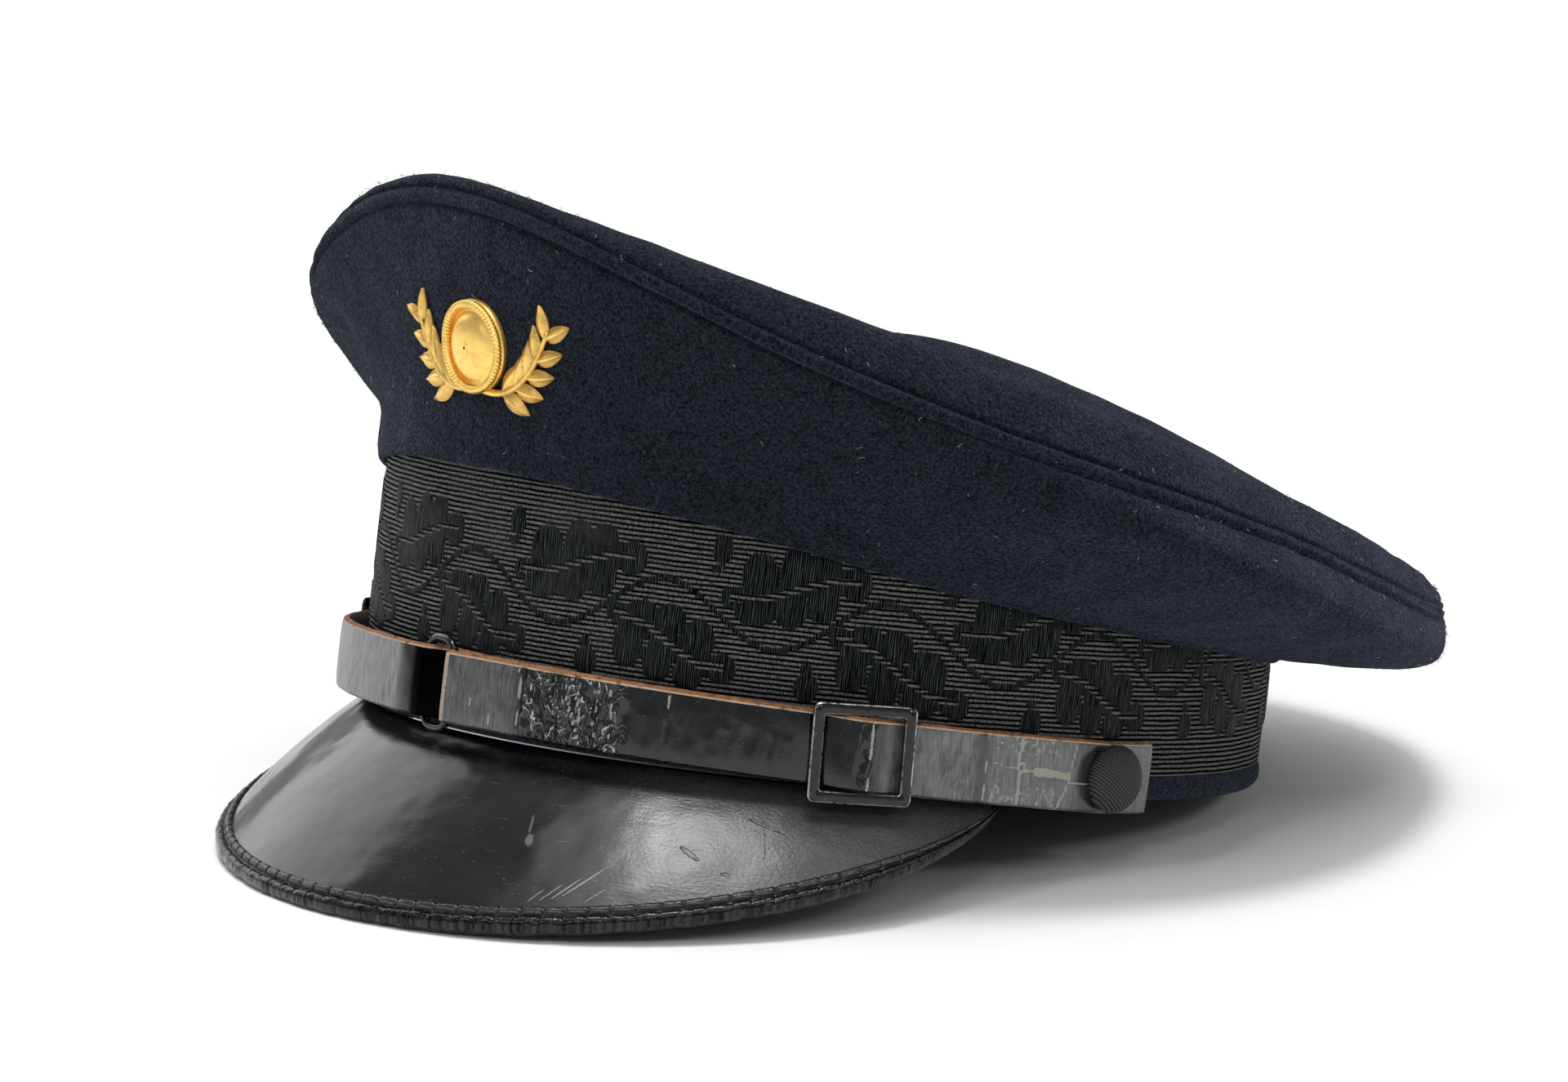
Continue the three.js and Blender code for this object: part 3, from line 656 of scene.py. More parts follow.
def lacquer_paint():
    """Old gloss lacquer: satin at one side, pebbled and dusty at the other, with scratches and scuffs."""
    p = Paint("peak_lacquer")
    plan = p.plan()
    along, from_band = p.parts(plan)
    streak = p.grain(plan, 0.16, 2.2, 4, 0.65, 0.9)
    hair = p.grain(plan, 0.1, 5.5, 2, 0.6, 0.82)
    smear = p.grain(plan, 0.035, 0.06, 5, 0.65)
    pebble = p.noise(plan, 1.3, 3, 0.65)
    wave = p.noise(plan, 0.07, 2, 0.4)
    worn = p.fade(along, WORN_FROM, WORN_FULL)
    specks = p.fade(p.cells(plan, 0.55), 0.085, 0.04)
    crumbs = p.fade(p.cells(plan, 1.1), 0.12, 0.04) * p.fade(p.noise(plan, 0.11, 3), 0.5, 0.62)
    cuts = p.fade(hair, 0.69, 0.75)
    pale = p.math("ADD", specks * 0.3, cuts * 0.3, clamp=True)
    pale = p.math("ADD", pale, crumbs * 0.45, clamp=True)
    for at, angle, size, strength in PALE_MARKS:
        pale = p.math("ADD", pale, p.mark(plan, at, angle, size) * strength, clamp=True)
    dark = 0.0
    for at, angle, size in DARK_MARKS:
        dark = p.math("MAXIMUM", dark, p.mark(plan, at, angle, size))
    haze = worn * p.fade(smear, 0.3, 0.7, 0.35, 1) * p.fade(pebble, 0.35, 0.7, 0.6, 1.3)
    tone = p.mix(p.fade(smear, 0.35, 0.75), LACQUER_BLACK, LACQUER_SMEAR)
    tone = p.mix(haze, tone, LACQUER_HAZE)
    tone = p.mix(dark, p.mix(pale, tone, LACQUER_CHIP), LACQUER_SCUFF)
    rough = p.fade(smear, 0.3, 0.75, 0.15, 0.23) + worn * 0.12 + pale * 0.3
    grain = pebble * p.fade(worn, 0, 1, 0.12, 0.75)
    height = streak * 0.3 + grain - dark * 0.8
    shine = p.fade(from_band, SHADE_TO, SHADE_CLEAR, 0.03, 0.5)
    return p.set(Base_Color=tone, Roughness=rough, Specular_IOR_Level=shine,
                 Normal=p.bump(height, 0.12, 0.75, p.bump(wave, 2.0, 0.35)))


BINDING_BLACK, BINDING_DUST = rgb(0.001, 0.001, 0.0015), rgb(0.006, 0.006, 0.006)
BINDING_THREAD = rgb(0.024, 0.021, 0.017)


def binding_paint():
    """Creased black leather, browner where its thread shows."""
    p = Paint("binding_leather")
    plan = p.plan()
    crease = p.grain(plan, 1.1, 0.5, 5, 0.7, 0.6, 0.8)
    lump = p.noise(plan, 1.0, 4, 0.7)
    crack = p.fade(p.cells(p.scaled(plan, (0.8, 0.45, 1), 0.5), feature="DISTANCE_TO_EDGE"), 0.0, 0.08)
    thread = p.value("thread")
    tone = p.mix(p.fade(lump, 0.35, 0.7), BINDING_BLACK, BINDING_DUST)
    rough = p.fade(crease, 0.3, 0.75, 0.06, 0.14) + thread * 0.12
    height = crease * 0.9 + lump * 0.9 + crack * 0.3
    return p.set(Base_Color=p.mix(thread, tone, BINDING_THREAD), Roughness=rough,
                 Specular_IOR_Level=p.fade(lump, 0.38, 0.6, 0.1, 0.5), Normal=p.bump(height, 0.09, 0.8))


STRAP_BLACK, STRAP_BLOTCH = rgb(0.0015, 0.0017, 0.0022), rgb(0.008, 0.009, 0.0105)
SATIN_REFLECTION_DARK, SATIN_REFLECTION_LIGHT = rgb(0.085, 0.089, 0.092), rgb(0.225, 0.232, 0.23)
STRAP_GROUND, STRAP_SPECK = rgb(0.3, 0.3, 0.245), rgb(0.3, 0.3, 0.28)
STRAP_SHADE, STRAP_CREST_HIGHLIGHT = rgb(0.0004, 0.0004, 0.0004), rgb(0.42, 0.44, 0.45)


def strap_paint():
    """Lacquered leather: gloss black, dulled to grey in places with painted reflection in the grey, cracked
    down to a pale ground, with painted highlights on its folds and painted shade in one recess.
    """
    p = Paint("strap_lacquer")
    plan = p.plan()
    dull_and_reflection, darkening, crinkle = p.value("dull_and_reflection"), p.value("darkening"), p.value("crinkle")
    grain = p.grain(plan, 2.2, 0.2, 3, 0.65, 0.12)
    fine = p.noise(plan, 2.2, 3, 0.65)
    blotch = p.noise(plan, 0.28, 4, 0.65)
    chip = p.noise(plan, 0.8, 3, 0.6)
    pale = p.fade(p.value("pale") + p.fade(chip, 0.3, 0.7, -0.28, 0.28), 0.42, 0.52)
    satin = p.mix(p.fade(grain, 0.35, 0.65), SATIN_REFLECTION_DARK, SATIN_REFLECTION_LIGHT)
    tone = p.mix(p.fade(blotch, 0.35, 0.7), STRAP_BLACK, STRAP_BLOTCH)
    # Dulled grey patches: partly the lacquer's worn dull grey, partly painted reflection, strongest on the
    # left length
    tone = p.mix(dull_and_reflection * p.fade(blotch, 0.25, 0.6, 0.6, 1), tone, satin)
    # The pale ground shows at cracks and flakes, and the same pale paints highlight lines along folds and
    # creases
    tone = p.mix(pale * 0.8, tone, STRAP_GROUND)
    tone = p.mix(p.fade(p.cells(plan, 0.7), 0.09, 0.04) * 0.3, tone, STRAP_SPECK)
    # Painted shade: black, and with its shine cut below, where the left length dips into the recess behind
    # the wire loop
    tone = p.mix(darkening, tone, STRAP_SHADE)
    # Folds in the crumpled part, with painted highlights along their crests
    crumple = p.grain(plan, 0.42, 0.2, 1.5, 0.5, 0.25, 0.9)
    from_crest = abs(crumple - 0.5)
    ridge = p.fade(from_crest, 0.0, 0.2, 1, 0) ** 1.4 * p.fade(crinkle, 0.15, 0.6)
    crest = p.fade(from_crest, 0.004, 0.022, 1, 0) * p.fade(crinkle, 0.3, 0.6) * p.fade(chip, 0.42, 0.56)
    rough = p.fade(blotch, 0.3, 0.75, 0.07, 0.15) + dull_and_reflection * 0.2 + pale * 0.35
    height = grain * 0.4 + fine * 0.5 - pale * 0.9
    return p.set(Base_Color=p.mix(crest, tone, STRAP_CREST_HIGHLIGHT), Roughness=rough,
                 Specular_IOR_Level=p.fade(darkening, 0, 1, 0.5, 0.02),
                 Normal=p.bump(height, 0.045, 0.6, p.bump(ridge, 0.4, 1.0)))


RUST_DARK, RUST_LIGHT = rgb(0.11, 0.04, 0.018), rgb(0.36, 0.16, 0.075)
EDGE_SKIN, EDGE_GRIME = rgb(0.42, 0.34, 0.25), rgb(0.015, 0.01, 0.008)


def raw_edge_paint():
    """Cut leather: pale skins, a rusty core and dark dirt."""
    p = Paint("raw_leather_edge")
    plan = p.plan()
    grain = p.grain(plan, 0.8, 4.0, 4, 0.7)
    darkening = p.grain(plan, 0.35, 2.0, 3, 0.6)
    skin = p.fade(abs(p.value("layer") - 0.5), 0.22, 0.42) ** 1.5
    tone = p.mix(skin * 0.8, p.mix(p.fade(grain, 0.3, 0.7), RUST_DARK, RUST_LIGHT), EDGE_SKIN)
    return p.set(Base_Color=p.mix(p.fade(darkening, 0.58, 0.72), tone, EDGE_GRIME), Roughness=0.8,
                 Specular_IOR_Level=0.25, Normal=p.bump(grain, 0.25, 0.8))


JAPAN_BLACK, JAPAN_WORN = rgb(0.003, 0.003, 0.0035), rgb(0.05, 0.048, 0.044)
BARE_METAL_HIGHLIGHT = rgb(0.45, 0.45, 0.44)


def metal_paint():
    """Black japanned metal, worn through to pale metal along its bevels, which also stands in as their
    painted highlights.
    """
    p = Paint("japanned_metal")
    wear = p.noise(p.body(), 700, 4, 0.65)
    # Worn to pale metal along the bevels, which also paints their highlights
    bare_and_highlight = p.value("edge") * p.fade(wear, 0.38, 0.55)
    tone = p.mix(p.fade(wear, 0.58, 0.74), JAPAN_BLACK, JAPAN_WORN)
    return p.set(Base_Color=p.mix(bare_and_highlight, tone, BARE_METAL_HIGHLIGHT), Metallic=p.fade(bare_and_highlight, 0, 1, 0.1, 0.7),
                 Roughness=p.fade(wear, 0.3, 0.8, 0.08, 0.24), Specular_IOR_Level=0.5,
                 Normal=p.bump(wear, 0.05, 0.5))


REP_SLANT = 0.62
REP_SHADE, REP_HIGHLIGHT = rgb(0.001, 0.0011, 0.0013), rgb(0.065, 0.07, 0.075)


def rep_paint():
    """Cloth with slanting ribs."""
    p = Paint("rep_cloth")
    plan = p.plan()
    along, across = p.parts(p.scaled(plan, (1, 1, 1), REP_SLANT))
    rib = p.fade(p.wave(across, REP_PITCH), -1, 1)
    thread = p.fade(p.wave(along, REP_THREAD), -1, 1)
    cord = rib * (0.6 + thread * 0.4) * p.fade(p.noise(plan, 1.4, 3, 0.6), 0.2, 0.8, 0.6, 1.2)
    # Painted shade in the grooves between the ribs, and painted highlight on their tops
    tone = p.mix(p.fade(cord, 0.1, 0.9), REP_SHADE, REP_HIGHLIGHT)
    return p.set(Base_Color=tone, Roughness=0.6, Specular_IOR_Level=0.35, Normal=p.bump(cord, 0.22, 0.9))


GILT_BRIGHT, GILT_GRIME = rgb(1.0, 0.66, 0.18), rgb(0.2, 0.1, 0.03)


def gilt_paint():
    """Gilt metal, dirty in its hollows."""
    p = Paint("worn_gilt")
    at = p.body()
    darkening = p.fade(p.noise(at, 420, 4, 0.65), 0.48, 0.78, 0, 0.45)
    dirt = p.math("ADD", p.value("hollow") * 0.6, darkening, clamp=True)
    fine = p.noise(at, 2600, 3, 0.6)
    return p.set(Base_Color=p.mix(dirt, GILT_BRIGHT, GILT_GRIME), Metallic=0.9,
                 Roughness=p.fade(dirt, 0, 1, 0.32, 0.6), Normal=p.bump(fine, 0.08, 0.5))


def plain_paint(name, first, second, roughness, scale=900):
    p = Paint(name)
    spot = p.noise(p.body(), scale, 3, 0.6)
    return p.set(Base_Color=p.mix(p.fade(spot, 0.3, 0.7), first, second), Roughness=roughness,
                 Specular_IOR_Level=0.3, Normal=p.bump(spot, 0.15, 0.6))


WOOL = wool_paint()
BRAID = braid_paint()
LACQUER = lacquer_paint()
BINDING = binding_paint()
STRAP = strap_paint()
RAW_EDGE = raw_edge_paint()
METAL = metal_paint()
REP = rep_paint()
GILT = gilt_paint()
THREAD = plain_paint("waxed_thread", rgb(0.012, 0.011, 0.01), rgb(0.085, 0.078, 0.068), 0.5, 2200)
CORE = plain_paint("band_inside", rgb(0.01, 0.01, 0.012), rgb(0.018, 0.018, 0.02), 0.9)
UNDERSIDE = plain_paint("peak_underside", rgb(0.008, 0.011, 0.009), rgb(0.014, 0.018, 0.015), 0.6)
FUZZ = plain_paint("wool_fuzz", rgb(0.008, 0.009, 0.014), rgb(0.03, 0.033, 0.05), 0.95)
LINT = plain_paint("lint", rgb(0.35, 0.35, 0.36), rgb(0.6, 0.6, 0.6), 0.9)


# The crown

CROWN_COLUMNS = 640
FINE_LEVELS = 700
# Rows of the mesh up to the seam, across it, and from there to the middle
SIDE_ROWS, SEAM_ROWS, PANEL_ROWS = 50, 27, 36
SEAM_REACH = 3.6
RIB_RISE = 0.75
RIB_HALF = 1.25
GROOVE_DEPTH = 0.85
GROOVE_OFF = 1.85
# Where the seam's rib is highest, and where it has gone over into one groove
RIB_TURN = 20
RIB_FULL, RIB_GONE = 70, 140
RIM_DROP = 0.9


def crown_rows():
    """Levels of the crown's rows for each column, denser at the seam, and their distance from the seam."""
    turns = circle(CROWN_COLUMNS)
    fine = np.linspace(0, MIDDLE_LEVEL - 0.02, FINE_LEVELS)
    lengths = lengths_along(crown_point(turns[None], fine[:, None]))
    seam = np.array([np.interp(SEAM_LEVEL, fine, lengths[:, i]) for i in range(CROWN_COLUMNS)])
    side = np.linspace(0, 1, SIDE_ROWS)[:, None] * (seam - SEAM_REACH)
    near = seam + np.linspace(-SEAM_REACH, SEAM_REACH, SEAM_ROWS)[1:-1, None]
    rest = np.linspace(0, 1, PANEL_ROWS)[:, None] ** 0.9
    top = seam + SEAM_REACH + rest * (lengths[-1] - seam - SEAM_REACH)
    rows = np.concatenate([side, near, top])
    levels = np.stack([np.interp(rows[:, i], lengths[:, i], fine) for i in range(CROWN_COLUMNS)], 1)
    return turns, levels, rows - seam, rows


def seam_profile(turn, past):
    """The raised rib between two grooves, which fades to one groove toward the rear."""
    rib = 1 - 0.75 * smooth_step(RIB_FULL, RIB_GONE, np.abs(degrees_from(turn, RIB_TURN)))
    raised = RIB_RISE * rib * np.exp(-(past / RIB_HALF) ** 4)
    grooves = GROOVE_DEPTH * rib * (bell(past, -GROOVE_OFF, 0.5) + bell(past, GROOVE_OFF, 0.5))
    single = GROOVE_DEPTH * (1 - rib) * bell(past, 0, 0.6)
    return raised - grooves - single


def wool_rise(base, turn, climb, past):
    """Soft unevenness, tucks above the band and the pull of the seam."""
    soft = 0.55 * noise_at(base, 26, 1) + 0.16 * noise_at(base, 9, 2)
    pucker = pairs(turn * 100 / 7.5, climb / 26)
    tuck = 0.5 * noise_at(pucker, 1, 3) * np.exp(-climb / 13) * smooth_step(0, 3, climb)
    pull = 0.3 * noise_at(pairs(turn * 115 / 5.0, 0), 1, 4) * bell(past, 0, 6)
    return soft + tuck + pull


def crown():
    turns, levels, past, climb = crown_rows()
    turn = np.broadcast_to(turns[None], levels.shape)
    base = crown_point(turn, levels)
    normal = grid_normals(base, wrap_columns=True)
    centre = smooth_step(MIDDLE_LEVEL, MIDDLE_LEVEL - 1, levels)
    rise = wool_rise(base, turn, climb, past) * centre + seam_profile(turn, past)
    outer = base + normal * rise[..., None]
    flat_out = np.stack([np.sin(turn), -np.cos(turn), 0 * turn], -1)
    share = np.minimum(levels / 0.5, 1)[..., None]
    inward = unit(flat_out * (1 - share) + normal * share)
    rows = list(range(0, len(levels), 4)) + [len(levels) - 1]
    inner = (base - inward * WOOL_WALL)[rows][::-1]
    rim = [outer[0] - flat_out[0] * (WOOL_WALL / 2) * (1 - math.cos(a)) - [0, 0, RIM_DROP * math.sin(a)]
           for a in np.linspace(math.pi, 0, 6)[1:-1]]
    vertices, faces = grid(np.concatenate([inner, np.stack(rim), outer]), wrap_columns=True)
    pole = crown_point(np.array(0.0), np.array(MIDDLE_LEVEL - 1e-6))
    vertices, faces = pole_fans(vertices, faces, CROWN_COLUMNS, pole, pole - [0, 0, WOOL_WALL])
    piece("crown_cloth", vertices, faces, [WOOL], [
        "crown_side_front_left", "crown_side_rear_left", "crown_side_rear_right", "crown_side_front_right",
        "crown_shoulder", "crown_top", "crown_welt",
    ])


# The band

BRAID_ROW = 0.5
BRAID_COLUMN = 0.72
BRAID_PROUD = 0.1
BRAID_RELIEF = 0.3
REPEAT = 45.0
# Where the lower leaf's stalk stands, along the band from the front and up
PATTERN_ALONG = 37.2
PATTERN_RISE = 29.0
# The leaves' lobes from there: along, up, half width, half height
LOBES = (
    (5.4, 0.8, 3.3, 2.7), (11.4, 0.2, 3.0, 3.2), (17.2, -3.4, 3.4, 4.2), (3.0, -5.6, 3.2, 4.8),
    (9.4, -8.2, 3.1, 4.2), (15.8, -10.4, 3.1, 2.8), (22.4, -8.3, 2.9, 3.0),
    (28.0, 10.6, 3.6, 5.0), (35.2, 12.2, 3.4, 5.4), (41.0, 14.2, 2.9, 3.2), (47.2, 11.3, 3.1, 3.4),
    (27.8, 3.8, 4.2, 2.8), (34.8, 5.0, 3.3, 3.9), (41.0, 7.1, 3.2, 4.2),
    (20.2, 15.4, 2.0, 3.0), (-5.6, -10.2, 2.5, 2.9), (-6.0, -6.3, 1.3, 1.0), (19.6, 11.3, 1.4, 0.9),
)
# The leaves' middle veins, as rising lines with a body of leaf beside them
VEINS = (
    ((0.0, 0.4), (6.8, -1.5), (12.8, -5.5), (17.8, -8.0), (22.5, -8.0)),
    ((22.8, 6.0), (30.8, 7.0), (36.8, 9.5), (42.8, 11.5), (47.5, 11.5)),
)
STEM_MIDDLE = 2.4
STEM_SWING = 5.8
STEM_CREST = 9.5
VEIN_HALF = 0.62
VEIN_LEAF = 2.2
LOBE_POWER = 2.3
# From here to there along the band the pattern is drawn aside, by so much along and down
DRAWN_FROM, DRAWN_FULL = 88, 116
DRAWN_ALONG, DRAWN_DOWN = 3.5, 3.2
# The crease up the band's front left: where it meets the crown along the band, and its lean
CREASE_ARC, CREASE_LEAN = 27.5, 0.42
DUST_FROM, DUST_TO = 60, 10
CORE_COLUMNS, CORE_FACE, CORE_SOFT = 160, -0.1, 0.5
ROLL_COLUMNS, ROLL_ROWS, ROLL_BULGE = 420, 15, 1.9


def segment_distance(x, y, start, end):
    """Distance of points from a straight piece, and how far along it they lie."""
    ax, ay = end[0] - start[0], end[1] - start[1]
    share = np.clip(((x - start[0]) * ax + (y - start[1]) * ay) / (ax * ax + ay * ay), 0, 1)
    return np.hypot(x - start[0] - share * ax, y - start[1] - share * ay), share


def woven_pattern(arc, rise):
    """Above a half where the braid is leaf: lobed leaves and buds along a wandering stem."""
    drawn = smooth_step(DRAWN_FROM, DRAWN_FULL, arc)
    arc = arc - DRAWN_ALONG * drawn
    y = rise - PATTERN_RISE + DRAWN_DOWN * drawn
    inside = np.full(arc.shape, -2.0)
    vein = np.full(arc.shape, 9.0)
    for shift in (-REPEAT, 0, REPEAT):
        x = np.mod(arc - PATTERN_ALONG + 8, REPEAT) - 8 + shift
        for at, up, wide, tall in LOBES:
            far = np.abs((x - at) / wide) ** LOBE_POWER + np.abs((y - up) / tall) ** LOBE_POWER
            far = far ** (1 / LOBE_POWER)
            inside = np.maximum(inside, (1 - far) * min(wide, tall))
        for line in VEINS:
            for start, end in zip(line, line[1:]):
                far, _ = segment_distance(x, y, start, end)
                inside = np.maximum(inside, VEIN_LEAF - far)
                vein = np.minimum(vein, far)
    inside = np.minimum(inside, vein - VEIN_HALF)
    wave = STEM_MIDDLE + STEM_SWING * np.cos(2 * math.pi * (arc - PATTERN_ALONG - STEM_CREST) / REPEAT)
    stem = 0.55 - np.abs(y - wave) * 0.8
    return np.clip(np.maximum(inside, stem) * 0.6 + 0.5, 0, 1)


def edge_height_at(turn):
    polar = np.arctan2(BAND_WIDE * np.sin(turn), BAND_LONG * np.cos(turn))
    return CROWN["edge_z"](polar)


def round_band(columns):
    """Even steps round the band, as lengths from its front and as turns."""
    arcs = (np.arange(columns) + 0.5) * OVAL_LENGTH / columns - OVAL_LENGTH / 2
    return arcs, turn_at(arcs)


def band_braid():
    arcs, turns = round_band(int(round(OVAL_LENGTH / BRAID_COLUMN)))
    highest = CROWN_SECTIONS["edge_z"][0] + 3
    heights = np.arange(BAND_FOOT - 0.5, highest, BRAID_ROW)
    arc, rise = np.meshgrid(arcs, heights)
    turn = np.broadcast_to(turns, arc.shape)
    leaf = woven_pattern(arc, (np.floor(rise / RIB_PITCH) + 0.5) * RIB_PITCH)
    edge = edge_height_at(turn)
    crease_arc = CREASE_ARC - (edge - rise) * CREASE_LEAN
    crease = bell(arc, crease_arc, 1.3) * smooth_step(6, 26, rise)
    beside = bell(arc, crease_arc - 3.2, 2.4) * smooth_step(12, 30, rise)
    slack = 0.5 * noise_at(pairs(arc, rise * 0.7), 15, 6)
    free = smooth_step(0, 3, edge - rise)
    out = BRAID_PROUD + 0.15
    out = out + (smooth_step(0.4, 0.6, leaf) * BRAID_RELIEF + np.maximum(slack, 0) * 0.6) * free
    out = out + (0.55 * beside - 0.3 * crease) * free
    points = oval(turn, np.maximum(out, 0.05), rise)
    vertices, faces = grid(points, wrap_columns=True)
    keep = (rise[:-1] < edge[:-1] + 2.2).ravel()
    faces = faces[keep]
    used = np.unique(faces)
    renumber = np.zeros(len(vertices), int)
    renumber[used] = np.arange(len(used))
    uv = pairs(arc, rise).reshape(-1, 2)
    front = smooth_step(DUST_FROM, DUST_TO, arc)
    piece("band_braid", vertices[used], renumber[faces], [BRAID], ["band"], uv=uv[used],
          values={"leaf": leaf.ravel()[used], "front": front.ravel()[used]})


def band_core():
    turns = circle(CORE_COLUMNS) - math.pi
    top = (BAND_TOP_FRONT + BAND_TOP_REAR) / 2 + (BAND_TOP_FRONT - BAND_TOP_REAR) / 2 * np.cos(turns)
    face, back, soft = CORE_FACE, -BAND_WALL, CORE_SOFT
    corners = [
        (face - soft, BAND_FOOT), (face, BAND_FOOT + soft), (face, top - soft), (face - soft, top),
        (back + soft, top), (back, top - soft), (back, BAND_FOOT + soft), (back + soft, BAND_FOOT),
    ]
    rings = np.stack([oval(turns, out, z) for out, z in corners])
    vertices, faces = grid(rings, wrap_rows=True, wrap_columns=True)
    piece("band_inside", vertices, faces, [CORE])


def base_roll():
    arcs, turns = round_band(ROLL_COLUMNS)
    half = ROLL_HEIGHT / 2
    rows = []
    for angle in np.linspace(-math.pi / 2, math.pi / 2, ROLL_ROWS):
        lumps = 0.18 * noise_at(pairs(arcs, angle * 2), 5.0, 8)
        out = ROLL_PROUD - ROLL_BULGE + ROLL_BULGE * math.cos(angle) ** 0.8 + lumps * math.cos(angle)
        rows.append(oval(turns, out, half + half * math.sin(angle)))
    for past, z in ((0.3, ROLL_HEIGHT), (0, ROLL_HEIGHT - 0.5), (0, 0.5), (0.3, 0)):
        rows.append(oval(turns, past - BAND_WALL, z))
    vertices, faces = grid(np.stack(rows), wrap_rows=True, wrap_columns=True)
    piece("base_roll_cloth", vertices, faces, [WOOL], ["base_roll"])


# The peak and its binding

PEAK_COLUMNS, PEAK_ROWS = 360, 44
BINDING_COLUMNS = 1100
STITCH_PITCH = 4.6
STITCH_LENGTH = 4.1
STITCH_POINTS = 9
# The binding's section: how far past the sheet's rim, how far over its top face
BINDING_SECTION = (
    (-2.15, 0.02), (-2.1, 0.38), (-1.9, 0.66), (-1.55, 0.84), (-1.15, 0.9), (-0.75, 0.82), (-0.42, 0.6),
    (-0.2, 0.3), (-0.05, 0.12), (0.1, 0.3), (0.3, 0.62), (0.6, 0.88), (1.0, 1.02), (1.45, 0.98), (1.9, 0.78),
    (2.35, 0.42), (2.7, -0.05), (2.95, -0.6), (3.05, -1.2), (2.95, -1.8), (2.65, -2.3), (2.1, -2.7),
    (1.4, -2.95), (0.4, -3.1), (-0.8, -3.15), (-2.0, -3.1), (-2.8, -2.95), (-2.9, -2.75), (-2.9, -2.5),
    (0.3, -2.5), (0.3, 0.02),
)
# The middles of its stitched bead and of its roll, in the same measures
BEAD_MIDDLE, ROLL_MIDDLE = (-1.1, 0.1), (1.3, -0.9)


def peak_turns(count):
    return np.linspace(PEAK_MIDDLE_TURN - PEAK_HALF_TURN, PEAK_MIDDLE_TURN + PEAK_HALF_TURN, count)


def peak_sheet():
    turns = peak_turns(PEAK_COLUMNS)
    turn, share = np.meshgrid(turns, np.linspace(0, 1, PEAK_ROWS))
    run = share * peak_width(turn)
    plan = pairs(arc_at(turn), run)
    ripple = 0.16 * noise_at(plan, 17, 11) + 0.05 * noise_at(plan, 6, 12)
    ripple = ripple * smooth_step(0, 5, run) * smooth_step(0, 6, peak_width(turn) - run)
    top = peak_point(turn, run, ripple)
    low = peak_point(turn, run, -PEAK_SHEET + 0 * run)[::-4]
    rings = np.concatenate([top[::-1], low[::-1]])
    plans = np.concatenate([plan[::-1], plan[::-4][::-1]])
    vertices, faces = grid(rings, wrap_rows=True)
    faces = faces.tolist() + end_caps(len(rings), PEAK_COLUMNS)
    under = [1 if f[0] // PEAK_COLUMNS >= len(top) - 1 else 0 for f in faces]
    piece("peak_sheet", vertices, faces, [LACQUER, UNDERSIDE], ["peak"], uv=plans,
          face_material=under)


def binding_place(turn, past, over):
    share = binding_share(turn)
    beyond = np.where(past < GAP, past * share, GAP + (past - GAP) * share)
    face = np.clip(over, -PEAK_SHEET - GAP, GAP)
    return peak_point(turn, peak_width(turn) + beyond, face + (over - face) * share)


def peak_binding():
    turns = peak_turns(900)
    arcs = lengths_along(peak_point(turns, peak_width(turns), 0 * turns))
    even = np.linspace(0, arcs[-1], BINDING_COLUMNS)
    turns = np.interp(even, arcs, turns)
    waver = 0.5 * noise_at(pairs(even, 0), 9, 41)
    step = np.mod(even + waver, STITCH_PITCH)
    notch = bell(step, 0, 0.2) + bell(step, STITCH_PITCH, 0.2)
    rings, plans, thread = [], [], []
    for index, (past, over) in enumerate(BINDING_SECTION):
        plan = pairs(even, past + 0.6 * over)
        free = 0 < index < len(BINDING_SECTION) - 3
        bead = free and past < -0.1 and over > 0
        roll = free and past > 0 and over > -2.5
        crease = noise_at(pairs(even * 0.8 + past * 0.7, past * 0.5 + over * 0.5 + even * 0.12), 1.5, 14)
        lump = noise_at(plan, 5.0, 15)
        swell = 0.07 * crease + 0.05 * lump
        if bead:
            swell = 0.1 * crease - 0.42 * notch + 0.06 * lump
        if roll:
            near = 0.3 if past < 1.2 and over > 0 else 0.06
            swell = 0.2 * crease - near * notch + 0.14 * lump
        away = np.array([past, over]) - (BEAD_MIDDLE if bead else ROLL_MIDDLE)
        away = away / np.linalg.norm(away) * free
        rings.append(binding_place(turns, past + away[0] * swell, over + away[1] * swell))
        plans.append(plan)
        thread.append(np.clip((1 - notch) * (bead and past > -1.7), 0, 1))
    rings, plans, thread = (np.stack(rows)[::-1] for rows in (rings, plans, thread))
    vertices, faces = grid(rings, wrap_rows=True)
    faces = faces.tolist() + end_caps(len(rings), BINDING_COLUMNS)
    piece("peak_binding_leather", vertices, faces, [BINDING], ["peak_binding"], uv=plans,
          values={"thread": thread})
    stitches(turns, even + waver)


def stitches(turns, arcs):
    parts = []
    for start in np.arange(2 * STITCH_PITCH, arcs[-1] - 2 * STITCH_PITCH, STITCH_PITCH):
        at = start + STITCH_PITCH / 2 + np.linspace(-0.5, 0.5, STITCH_POINTS) * STITCH_LENGTH
        turn = np.interp(at, arcs, turns)
        rise = np.cos(np.linspace(-1.35, 1.35, STITCH_POINTS)) * 0.25
        path = binding_place(turn, -0.62 + np.linspace(-0.12, 0.1, STITCH_POINTS), 0.52 + rise)
        radius = 0.1 + 0.2 * np.cos(np.linspace(-1.3, 1.3, STITCH_POINTS))
        parts.append(swept_tube(path, radius, 6))
    vertices, faces = joined(parts)
    piece("binding_stitches", vertices, faces, [THREAD])


# The chin strap

STRAP_HALF = STRAP_WIDTH / 2
STRAP_STEP = 0.45
FLAKE_SHARE = 0.37


